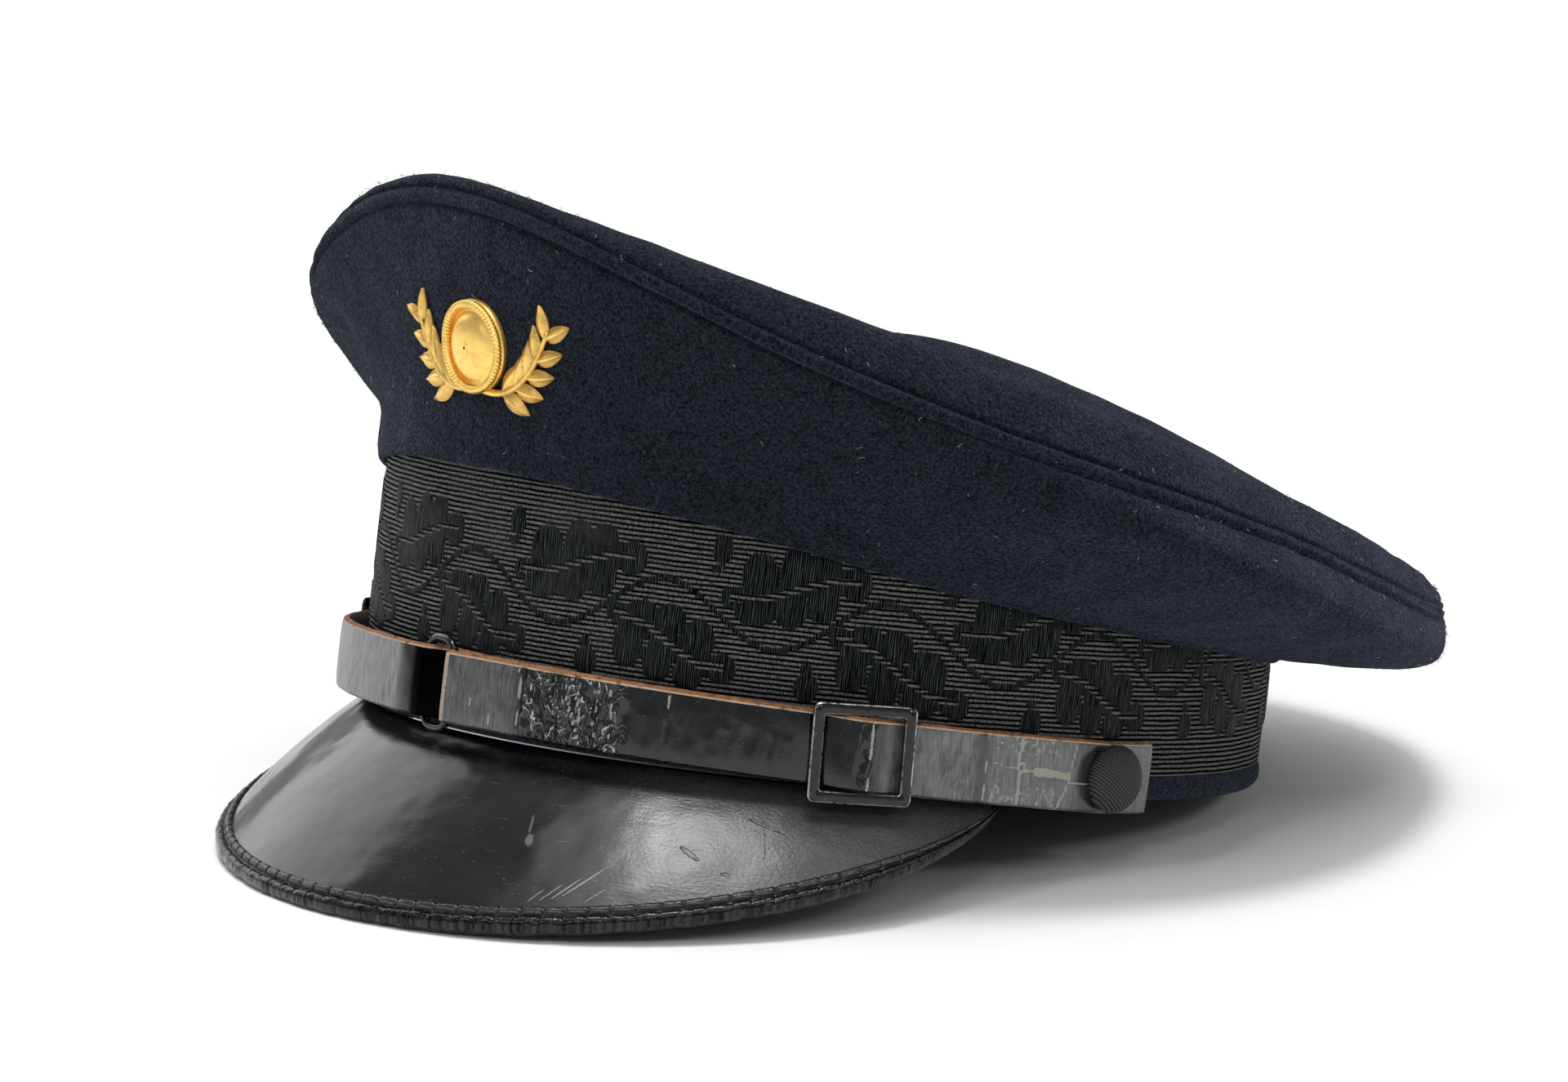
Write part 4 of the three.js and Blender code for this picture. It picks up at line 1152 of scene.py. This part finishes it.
def strap_section():
    """From the front face over the top edge: across the width, and out from the front face."""
    half = STRAP_HALF
    face = [(y, 0) for y in np.linspace(-half + 0.3, half - 0.8, 41)]
    top = [(half - 0.62, -0.05), (half - 0.46, -0.22), (half - 0.34, -0.48), (half - 0.34, -0.68),
           (half - 0.14, -0.82), (half + 0.02, -1.1), (half - 0.02, -1.4)]
    back = [(y, -STRAP_SHEET) for y in np.linspace(half - 0.4, -half + 0.4, 7)]
    low = [(-y, out) for y, out in reversed(top)]
    return face, top, back, low


def stretch(value, start, grown, shrinking, end):
    """1 from grown to shrinking, and 0 before start and past end."""
    return smooth_step(start, grown, value) * smooth_step(end, shrinking, value)


def along_line(arc, across, lines):
    """1 on any of some lines, crack lines and painted highlight lines alike, and 0 a little way off; each
    line is its width and its points.
    """
    total = np.zeros(arc.shape)
    for width, points in lines:
        for start, end in zip(points, points[1:]):
            far, _ = segment_distance(arc, across, start, end)
            total = np.maximum(total, smooth_step(width * 1.9, width * 0.4, far))
    return total


def wrinkled(arcs, marks):
    """How deep the strap is crumpled at places along it."""
    zones = [depth * stretch(arcs, a - 1, a + 2, b - 3, b + 3) for a, b, depth in marks["wrinkles"]]
    return sum(zones, 0 * arcs)


def strap_relief(arcs, across, plan, marks, seed):
    """How far the face stands out at one height across: soft wear, creases, folds, and grooves along the
    crack and highlight lines.
    """
    height = np.full(arcs.shape, float(across))
    relief = 0.06 * noise_at(plan * [1, 0.25], 2.2, seed) + 0.16 * noise_at(plan * [1, 0.5], 7.5, seed + 1)
    relief = relief - 0.25 * (abs(across) / STRAP_HALF) ** 4
    for arc, lean, depth, spread, low_end, high_end in marks["creases"]:
        zone = stretch(height, low_end - 1.5, low_end, high_end, high_end + 1.5)
        wander = 0.35 * noise_at(pairs(height, 0), 3.0, seed + 7)
        relief = relief - depth * zone * bell(arcs, arc + lean * across + wander, spread)
    bent = plan * [1, 0.3] + 0.9 * noise_at(plan, 4.5, seed + 4)[..., None]
    folds = 1 - 2.6 * np.sqrt(noise_at(bent, 2.1, seed + 5) ** 2 + 0.004)
    relief = relief + wrinkled(arcs, marks) * (np.logaddexp(5 * folds, -4) / 5 - 0.35)
    return relief - 0.12 * along_line(arcs, height, marks["cracks_and_highlights"])


def strap_length(name, rows, start, end, replaced, marks, seed):
    """One length of the strap: lacquered faces, raw edges, and its creases, dulled grey patches partly
    brightened as painted reflection, crack lines, painted highlight lines and painted shade.
    """
    first, last = arc_at(np.array(start * DEGREES)), arc_at(np.array(end * DEGREES))
    arcs = np.linspace(first, last, int((last - first) / STRAP_STEP))
    turns = turn_at(arcs)
    off = table_value(rows, turns) + STRAP_SHEET
    middle = strap_height(turns)
    dull_and_reflection = sum(amount * stretch(arcs, a - 2, a + 2, b - 2, b + 2) for a, b, amount in marks["dull_and_reflection"])
    crumpled = wrinkled(arcs, marks)
    darkening, flakes = stretch(arcs, *marks["darkening"]), stretch(arcs, *marks["flakes"])
    face, top, back, low = strap_section()
    rings, plans = [], []
    values = {label: [] for label in ("layer", "dull_and_reflection", "pale", "darkening", "crinkle")}
    for across, out in face + top + back + low:
        height = np.full(arcs.shape, float(across))
        plan = pairs(arcs, height + out)
        level = np.full(arcs.shape, float(out))
        lacquered = out > -0.2
        if lacquered:
            level = level + strap_relief(arcs, across, plan, marks, seed)
        uneven = 0.12 * noise_at(plan, 7, seed + 2) * np.sign(across) * (abs(across) > 6.9)
        rings.append(oval(turns, off + np.minimum(level, 0.5), middle + across + uneven))
        plans.append(plan)
        flaking = flakes * stretch(abs(across), 2.2, 3.6, 6.6, 7.6) * FLAKE_SHARE
        # Pale at cracks and flakes, and along the painted highlight lines
        pale = np.maximum(along_line(arcs, height, marks["cracks_and_highlights"]), flaking)
        layer = np.full(arcs.shape, -out / STRAP_SHEET)
        for numbers, along in zip(values.values(), (layer, dull_and_reflection, pale, darkening, crumpled * lacquered)):
            numbers.append(along)
    vertices, faces = grid(np.stack(rings), wrap_rows=True)
    count, columns = len(rings), len(arcs)
    row = np.repeat(np.arange(count), columns - 1)
    column = np.tile(np.arange(columns - 1), count)
    past_top = len(face) + len(top)
    outer = (row < len(face) - 1) & (column >= marks["bare_end"])
    inner = (row >= past_top) & (row < past_top + len(back) - 1)
    under = row >= past_top + len(back)
    kinds = np.where(outer | inner | under, 0, 1).tolist()
    piece(name, vertices, faces.tolist() + end_caps(count, columns), [STRAP, RAW_EDGE], replaced,
          uv=np.stack(plans), values=values, face_material=kinds + [1, 1])


# What happened to each length, with places along it in millimetres from the cap's front.
# Creases: place along, lean, depth, spread, lowest and highest across.
# Wrinkles and dulled grey patches, partly painted reflection: from, to, how much. Cracks and painted
# highlight lines: width, then points along and across.
# Flakes and painted shade: where they start, are full, fade and end. The end left unlacquered is so many
# steps long.
NOWHERE = (500, 501, 502, 503)
LEFT_MARKS = {
    "creases": (
        (-16.0, 0.02, 0.1, 0.8, -8, 8), (-31.0, 0.9, 0.12, 0.6, -6, 1), (-27.0, 0.7, 0.1, 0.6, -6, 2),
    ),
    "wrinkles": (),
    # The left length's grey, at more than full strength, is painted reflection
    "dull_and_reflection": ((-150, -12, 1.6), (-12, 100, 0.05)),
    "cracks_and_highlights": (),
    "flakes": NOWHERE,
    # Painted shade where this length dips behind the wire loop
    "darkening": (-8.5, -6.5, 8, 14),
    "bare_end": 0,
}
RIGHT_MARKS = {
    "creases": (
        (9.7, 0.02, 0.16, 0.3, -8, 0), (14.5, 0.05, 0.16, 0.3, -8, 0), (20.8, 0.08, 0.4, 0.4, -8, 8),
        (26.0, -0.15, 0.3, 0.5, -8, 8), (29.5, 0.2, 0.35, 0.5, -8, 8), (33.5, -0.1, 0.4, 0.6, -8, 8),
        (37.5, 0.15, 0.3, 0.5, -8, 8),
        (51.0, 0.0, 0.2, 0.3, -8, 5), (87.3, 0.02, 0.45, 0.45, -7, 7), (90.4, 0.03, 0.25, 0.6, -7, 7),
        (104.5, -0.1, 0.15, 0.6, -7, 7), (109.0, 0.25, 0.22, 0.7, -7, 6), (111.5, 0.3, 0.2, 0.6, -7, 3),
    ),
    "wrinkles": ((21, 43, 0.62), (44, 84, 0.04), (86, 91, 0.3), (103, 112, 0.28)),
    "dull_and_reflection": (
        (-10, 20, 0.5), (91, 96, 0.4), (97, 112, 0.7), (114, 136, 0.75), (136, 141, 0.25), (143, 200, 0.7),
    ),
    "cracks_and_highlights": (
        (0.09, ((113.9, 7.4), (114.1, 3), (113.7, -2), (114.0, -7.4))),
        (0.2, ((122.3, 7.4), (121.7, 3.5), (121.3, 1), (122.1, -0.6), (121.8, -4), (122.2, -7.4))),
        (0.12, ((115.6, 1.2), (118, 0.6), (121.4, 0.4))),
        (0.18, ((121.3, 1), (122.6, 1.6), (123.2, 0.2), (122.1, -0.6))),
        (0.2, ((122.1, -0.3), (125.5, 0.2))), (0.75, ((126.2, 0.1), (130, -0.1))),
        (0.6, ((130, -0.1), (133.9, -0.4))),
        (0.1, ((88.9, 6.8), (89.1, 2), (88.8, -2), (89.0, -6.8))),
        (0.17, ((135.8, 6.4), (134.6, 2), (133.8, -3), (132, -7.2))),
        (0.08, ((134.5, -1.6), (141, -1.7))),
        (0.15, ((20.4, 6.4), (20.8, 3), (20.5, -1), (20.9, -5))),
        (0.06, ((9.6, -7.2), (9.9, -2), (9.7, 1.5))), (0.06, ((14.3, -7.2), (14.7, -1), (14.5, 2))),
        # Painted highlights: a bright line on the crease at 51, and thin bright lines along the crumpled
        # part's folds
        (0.05, ((51.0, 6.2), (51.2, 1))),
        (0.1, ((23.2, 5.0), (23.8, 1), (24.6, -3), (24.2, -6))),
        (0.08, ((26.5, 5.5), (27.5, 2), (29.5, -1), (31.5, -5.5))),
        (0.12, ((30.6, 5.0), (31.2, 2), (32.4, -0.5), (33.6, -4.5))),
        (0.13, ((33.4, 5.5), (33.0, 2.5), (34.0, 0), (33.5, -4), (34.4, -6.5))),
        (0.08, ((36.4, 5.0), (37.2, 2), (36.6, -2), (37.4, -6))),
        (0.1, ((39.6, 5.5), (40.3, 1.5), (39.9, -2.5), (40.6, -6))),
        (0.06, ((28, -1.5), (30.5, 1.5), (33, 3.5))), (0.06, ((30, -5), (34, -1.5), (37, 0.5))),
    ),
    "flakes": (114, 116, 131, 134),
    "darkening": NOWHERE,
    "bare_end": 2,
}


def straps():
    strap_length("strap_left_leather", LEFT_STRAP_OFF, -94, 51, ["strap_left"], LEFT_MARKS, 20)
    strap_length("strap_right_leather", RIGHT_STRAP_OFF, 2, 93, ["strap_right"], RIGHT_MARKS, 30)


def turned(points, angle):
    """The first two coordinates turned by an angle."""
    c, s = math.cos(angle), math.sin(angle)
    x, y, z = points.T
    return np.stack([x * c - y * s, x * s + y * c, z], 1)


def on_band(points, turn, off, lean=0.0):
    """Lays flat points, as along, up and out, at a turn of the band and a distance from it."""
    turn = np.array(float(turn))
    normal = oval_normal(turn)
    side = np.cross([0, 0, 1], normal)
    c, s = math.cos(lean), math.sin(lean)
    x = points[:, 0] * c + points[:, 2] * s
    z = -points[:, 0] * s + points[:, 2] * c
    place = oval(turn, off, strap_height(turn))
    return place + x[:, None] * side + points[:, 1:2] * [0, 0, 1] + z[:, None] * normal


def rounded_loop(length, height, corner, steps=7):
    """Points round a rectangle with round corners, from its lower right corner on."""
    points = []
    for index, (sx, sy) in enumerate(((1, -1), (1, 1), (-1, 1), (-1, -1))):
        centre = np.array([sx * (length / 2 - corner), sy * (height / 2 - corner)])
        for angle in (np.linspace(-90, 0, steps) + 90 * index) * DEGREES:
            points.append(centre + corner * np.array([math.cos(angle), math.sin(angle)]))
    return np.array(points)


BUCKLE_SOFT = 0.3
BUCKLE_CORNER_OUT, BUCKLE_CORNER_IN = 1.4, 0.6
BAR_RADIUS, BAR_FLAT, BAR_LEVEL = 0.8, 0.45, 0.4
# The frame's section: share of its width inwards, height, and whether its black is worn there to pale metal,
# which also paints the bevels' highlights
BUCKLE_SECTION = (
    (0, 0, 0), (0, BUCKLE_PLATE - BUCKLE_SOFT, 0),
    (0.04, BUCKLE_PLATE - 0.12, 1), (0.12, BUCKLE_PLATE - 0.04, 1),
    (BUCKLE_SOFT / BUCKLE_BAR, BUCKLE_PLATE, 0), (0.5, BUCKLE_PLATE + 0.06, 0),
    (1 - BUCKLE_SOFT / BUCKLE_BAR, BUCKLE_PLATE, 0), (0.9, BUCKLE_PLATE - 0.05, 1),
    (1, BUCKLE_PLATE - BUCKLE_SOFT, 0), (1, 0, 0),
)


def buckle(name, turn, node, tilt):
    """A flat frame with softened edges, and the bar that the strap passes over."""
    outer = rounded_loop(BUCKLE_LENGTH, BUCKLE_HEIGHT, BUCKLE_CORNER_OUT)
    inner = rounded_loop(BUCKLE_LENGTH - 2 * BUCKLE_BAR, BUCKLE_HEIGHT - 2 * BUCKLE_BAR, BUCKLE_CORNER_IN)
    rings = [np.insert(outer + (inner - outer) * share, 2, height, 1) for share, height, _ in BUCKLE_SECTION]
    edge = [np.full(len(outer), worn) for _, _, worn in BUCKLE_SECTION]
    half = (BUCKLE_HEIGHT - BUCKLE_BAR * 1.4) / 2
    path = np.stack([np.zeros(9), np.linspace(-half, half, 9), np.zeros(9)], 1)
    bar_vertices, bar_faces = swept_tube(path, BAR_RADIUS, 14)
    bar = bar_vertices * [1, 1, BAR_FLAT] + [0, 0, BAR_LEVEL], bar_faces
    vertices, faces = joined([grid(np.stack(rings)[::-1], wrap_rows=True, wrap_columns=True), bar])
    edge = np.concatenate([np.stack(edge)[::-1].ravel(), np.zeros(len(bar_vertices))])
    vertices = on_band(turned(vertices, tilt), turn, BUCKLE_OFF)
    obj = piece(name, vertices, faces, [METAL], [node], values={"edge": edge})
    modifier = obj.modifiers.new("weighted", "WEIGHTED_NORMAL")
    modifier.keep_sharp = True


def wire_loop():
    flat = rounded_loop(LOOP_LENGTH - 2 * WIRE_RADIUS, LOOP_HEIGHT - 2 * WIRE_RADIUS, LOOP_CORNER, 10)
    vertices, faces = swept_tube(np.insert(flat, 2, 0, 1), WIRE_RADIUS, 16, closed=True)
    piece("wire_loop_metal", on_band(vertices, LOOP_TURN, LOOP_OFF, -LOOP_LEAN), faces, [METAL],
          ["wire_loop"])


# The dome's section from its foot: radius, height
BUTTON_PROFILE = (
    (5.8, 0.05), (6.7, 0.3), (7.0, 0.9), (6.95, 1.5), (6.6, 2.3), (6.0, 3.0), (5.1, 3.6), (4.0, 4.05),
    (2.8, 4.35), (1.5, 4.55), (0.5, 4.6),
)
BUTTON_AROUND = 72
GATHERS, GATHER_DEPTH = 18, 0.06
SHANK_RADIUS = 1.3


def button(name, turn, node):
    """A domed cloth button, gathered a little at its rim, on a shank."""
    seat = RIGHT_STRAP_OFF[-1][1] + STRAP_SHEET + GAP
    angles = circle(BUTTON_AROUND)
    gathers = GATHER_DEPTH * np.cos(GATHERS * angles)
    rings = [ring(radius + gathers * bell(height, 1.0, 0.9), angles, height)
             for radius, height in BUTTON_PROFILE]
    vertices, faces = grid(np.stack(rings), wrap_columns=True)
    top, bottom = [0, 0, BUTTON_DOME + 0.02], [0, 0, BUTTON_PROFILE[0][1]]
    dome = pole_fans(vertices, faces, BUTTON_AROUND, top, bottom)
    shank = swept_tube([[0, 0, -2.1], [0, 0, -1], [0, 0, 0.1]], SHANK_RADIUS, 12)
    vertices, faces = joined([dome, shank])
    plan = vertices[:, :2].copy()
    plan[len(dome[0]):] = 0
    piece(name, on_band(vertices, turn, seat), faces, [REP], [node], uv=plan)


# The badge

BOSS_AROUND = 96
# The boss from its middle to its rim's foot: radius, height
BOSS_PROFILE = (
    (0.3, 3.3), (2.5, 3.2), (4.8, 2.75), (6.0, 2.2), (6.8, 1.5), (7.3, 1.3), (7.9, 1.35), (9.4, 1.2),
    (BOSS_RADIUS, 0.6), (BOSS_RADIUS, 0.0),
)
CORD_RADIUS, CORD_LEVEL, CORD_SWING, CORD_THICK, CORD_TWISTS = 8.6, 1.75, 0.42, 0.52, 34
# Each spray's stem, as a curve's start, bend and end at the right
STEM_START, STEM_BEND, STEM_END = (1.0, -8), (14.0, -12), (21.5, 5)
LEAF_SPREAD = 38 * DEGREES
LEAF_ROWS, LEAF_COLUMNS = 13, 9


def level_at(turn, height):
    low, high = np.zeros(turn.shape), np.full(turn.shape, SEAM_LEVEL)
    for _ in range(30):
        middle = (low + high) / 2
        below = crown_point(turn, middle)[..., 2] < height
        low, high = np.where(below, middle, low), np.where(below, high, middle)
    return low


def bent_to_crown(points):
    """Lays flat badge points, with their heights, on the crown's front."""
    front = np.linalg.norm(crown_point(np.array(0.0), np.array(1.0)))
    turn = (points[:, 0] + BADGE_SIDE) / front * 1.2
    level = level_at(turn, BADGE_LEVEL_Z + points[:, 1])
    return crown_point(turn, level) + crown_normal(turn, level) * (points[:, 2:3] + GAP)


def badge_leaf(length, width, foot, angle):
    """A pointed leaf with a raised middle, bowed along its length."""
    x, y = np.meshgrid(np.linspace(0, 1, LEAF_ROWS), np.linspace(-1, 1, LEAF_COLUMNS), indexing="ij")
    half = width / 2 * np.sin(math.pi * x ** 0.8) ** 0.8
    ridge = LEAF_HEIGHT * (1 - np.abs(y) ** 0.8 * 0.75) * np.sin(math.pi * (0.12 + 0.8 * x)) ** 0.6
    vein = 0.16 * np.cos((x * 6 - np.abs(y) * 1.2) * 2 * math.pi) * (np.abs(y) > 0.15) * (np.abs(y) < 0.9)
    top = np.stack([x * length, y * half, np.maximum(ridge + vein, 0.25)], -1)
    bottom = top * [1, 1, 0]
    c, s = math.cos(angle), math.sin(angle)
    turn = np.array([[c, s, 0], [-s, c, 0], [0, 0, 1]])
    low = grid(bottom[:, ::-1] @ turn + [*foot, 0])
    high = grid(top @ turn + [*foot, 0])
    a, b = LEAF_ROWS - 1, LEAF_COLUMNS - 1
    rim = [(i, 0) for i in range(a)] + [(a, j) for j in range(b)]
    rim += [(a - i, b) for i in range(a)] + [(0, b - j) for j in range(b)]
    wall = np.stack([[sheet[i, j] for i, j in rim] for sheet in (bottom, top)])
    return [high, low, grid(wall @ turn + [*foot, 0], wrap_columns=True)]


def round_cord(phase):
    """One of the two strands twisted round the boss."""
    angles = circle(600)
    twist = angles * CORD_TWISTS + phase
    path = ring(CORD_RADIUS + CORD_SWING * np.cos(twist), angles, CORD_LEVEL + CORD_SWING * np.sin(twist))
    return swept_tube(path, CORD_THICK, 6, closed=True)


def spray(side):
    """A stem with pairs of leaves, at the right for 1 and at the left for -1."""
    start, bend, end = (np.array(point) * [side, 1] for point in (STEM_START, STEM_BEND, STEM_END))

    def stem_point(at):
        return (1 - at) ** 2 * start + 2 * at * (1 - at) * bend + at * at * end

    path = np.array([[*stem_point(at), 0.55] for at in np.linspace(0, 1, 24)])
    parts = [swept_tube(path, np.linspace(0.85, 0.5, 24), 10)]
    for at in np.linspace(0.3, 0.95, LEAF_PAIRS):
        along = stem_point(at + 0.01) - stem_point(at - 0.01)
        angle = math.atan2(along[1], along[0])
        size = 1 - 0.25 * at
        for spread in (-LEAF_SPREAD, LEAF_SPREAD):
            parts += badge_leaf(LEAF_LENGTH * size, LEAF_WIDTH * size * 1.15, stem_point(at), angle + spread)
    return parts


def badge():
    rings = [ring(radius, circle(BOSS_AROUND), height) for radius, height in BOSS_PROFILE]
    boss = grid(np.stack(rings)[::-1], wrap_columns=True)
    vertices, faces = joined([boss, round_cord(0), round_cord(math.pi), *spray(-1), *spray(1)])
    hollow = np.clip(1 - vertices[:, 2] / LEAF_HEIGHT, 0, 1)
    piece("badge_gilt", bent_to_crown(vertices), faces, [GILT], ["badge"], values={"hollow": hollow})


# Lint and nap on the wool

STRAND_POINTS = 5


def strands(rng, count, length, radius, lift, curl, stand=0.0):
    """Thin curved fibres on the crown, lying or standing, each a three-sided tube."""
    parts = []
    for _ in range(count):
        turn = np.array(rng.uniform(-math.pi, math.pi))
        level = np.array(rng.uniform(0.1, 5.5) if rng.random() < 0.45 else rng.uniform(0.05, 2.6))
        place, normal = crown_point(turn, level), crown_normal(turn, level)
        heading = rng.normal(size=3)
        heading = unit(heading - normal * (heading @ normal))
        side = np.cross(normal, heading)
        size = rng.uniform(*length)
        thin = rng.uniform(*radius)
        path = [place + normal * rng.uniform(*lift)]
        angle = 0.0
        for _ in range(STRAND_POINTS - 1):
            step = heading * math.cos(angle) + side * math.sin(angle)
            rise = normal * (stand * size / STRAND_POINTS + rng.normal() * 0.04)
            path.append(path[-1] + step * size / STRAND_POINTS + rise)
            angle += rng.normal() * curl
        tip = thin * (1 - 0.6 * (stand > 0))
        parts.append(swept_tube(path, np.linspace(thin, tip, STRAND_POINTS), 3))
    return joined(parts)


def lint():
    rng = np.random.default_rng(7)
    vertices, faces = strands(rng, 360, (0.25, 1.7), (0.022, 0.045), (0.2, 0.6), 0.8)
    piece("wool_lint", vertices, faces, [LINT])
    vertices, faces = strands(rng, 6000, (0.8, 2.0), (0.04, 0.07), (-0.4, 0.0), 0.5, 0.6)
    piece("wool_nap", vertices, faces, [FUZZ])


# Camera, light and floor

VIEW_TURN = 46.2 * DEGREES
VIEW_RISE = 12.94 * DEGREES
VIEW_DISTANCE = 1150.0
PIXELS_PER_MM = 5.64
FRAME_WIDTH, FRAME_HEIGHT = 1920, 1325
# Where the point that the camera circles lies in the photograph, in its pixels
AIM_PIXEL = (996.1, 983.6)
SENSOR_WIDTH = 36.0
# How far that point lies under the middle of the band's foot
AIM_DROP = BAND_LONG * math.sin(8.63 * DEGREES)
FLOOR_HALF = 12.0
SKY_STRENGTH = 0.37
# The lights: turn from the front and height angle in degrees, width in degrees, power
SUNS = {
    "overhead": (60, 78, 54, 0.95),
    "ceiling_lamp": (40, 84, 15, 1.4),
    "right_box": (-92, 28, 44, 0.75),
    "left_fill": (125, 38, 36, 0.25),
    "front_lamp": (8, 32, 9, 0.36),
    "middle_lamp": (48, 38, 9, 0.24),
    "side_lamp": (90, 30, 9, 0.28),
}


def toward(turn, rise):
    """The direction from the cap toward a turn from the front and a height angle."""
    return np.array([math.sin(turn) * math.cos(rise), -math.cos(turn) * math.cos(rise), math.sin(rise)])


def aimed(name, data, direction):
    obj = bpy.data.objects.new(name, data)
    obj.rotation_mode = "QUATERNION"
    obj.rotation_quaternion = Vector(direction).to_track_quat("-Z", "Y")
    bpy.context.scene.collection.objects.link(obj)
    return obj


def camera():
    back = toward(VIEW_TURN, VIEW_RISE)
    right = np.array([math.cos(VIEW_TURN), math.sin(VIEW_TURN), 0])
    up = np.cross(back, right)
    focal = PIXELS_PER_MM * VIEW_DISTANCE
    ahead = (-back * focal + right * (FRAME_WIDTH / 2 - AIM_PIXEL[0])
             + up * (AIM_PIXEL[1] - FRAME_HEIGHT / 2))
    data = bpy.data.cameras.new("camera")
    data.sensor_width = SENSOR_WIDTH
    data.lens = SENSOR_WIDTH * focal / FRAME_WIDTH
    bpy.context.scene.camera = aimed("camera", data, ahead)
    bpy.context.scene.camera.location = (SEAT - [0, 0, AIM_DROP] + back * VIEW_DISTANCE) * MM


def studio():
    """A white room: broad soft lights overhead and at the sides, and small lamps for the glints."""
    world = bpy.data.worlds.new("studio")
    world.use_nodes = True
    sky = world.node_tree.nodes["Background"]
    sky.inputs["Color"].default_value = (1.0, 1.0, 1.0, 1)
    sky.inputs["Strength"].default_value = SKY_STRENGTH
    bpy.context.scene.world = world
    for name, (turn, rise, width, power) in SUNS.items():
        data = bpy.data.lights.new(name, "SUN")
        data.energy = power
        data.angle = width * DEGREES
        aimed(name, data, -toward(turn * DEGREES, rise * DEGREES))
    data = bpy.data.meshes.new("floor")
    corners = [(x * FLOOR_HALF, y * FLOOR_HALF, 0) for x, y in ((-1, -1), (1, -1), (1, 1), (-1, 1))]
    data.from_pydata(corners, [], [(0, 1, 2, 3)])
    p = Paint("floor_paper")
    grain = p.noise(p.body(), 40, 3)
    data.materials.append(p.set(Base_Color=p.mix(p.fade(grain, 0.3, 0.7), rgb(0.87, 0.87, 0.875),
                                                 rgb(0.89, 0.89, 0.895)), Roughness=0.7))
    floor = bpy.data.objects.new("floor", data)
    bpy.context.scene.collection.objects.link(floor)
    settings = bpy.context.scene.view_settings
    settings.view_transform = "Standard"
    settings.look = "None"


camera()
studio()
crown()
band_braid()
band_core()
base_roll()
peak_sheet()
peak_binding()
straps()
buckle("buckle_right_metal", RIGHT_BUCKLE_TURN, "buckle_right", 0.03)
buckle("buckle_left_metal", LEFT_BUCKLE_TURN, "buckle_left", 0.0)
wire_loop()
button("button_right_cloth", BUTTON_TURN, "button_right")
button("button_left_cloth", -BUTTON_TURN, "button_left")
badge()
lint()
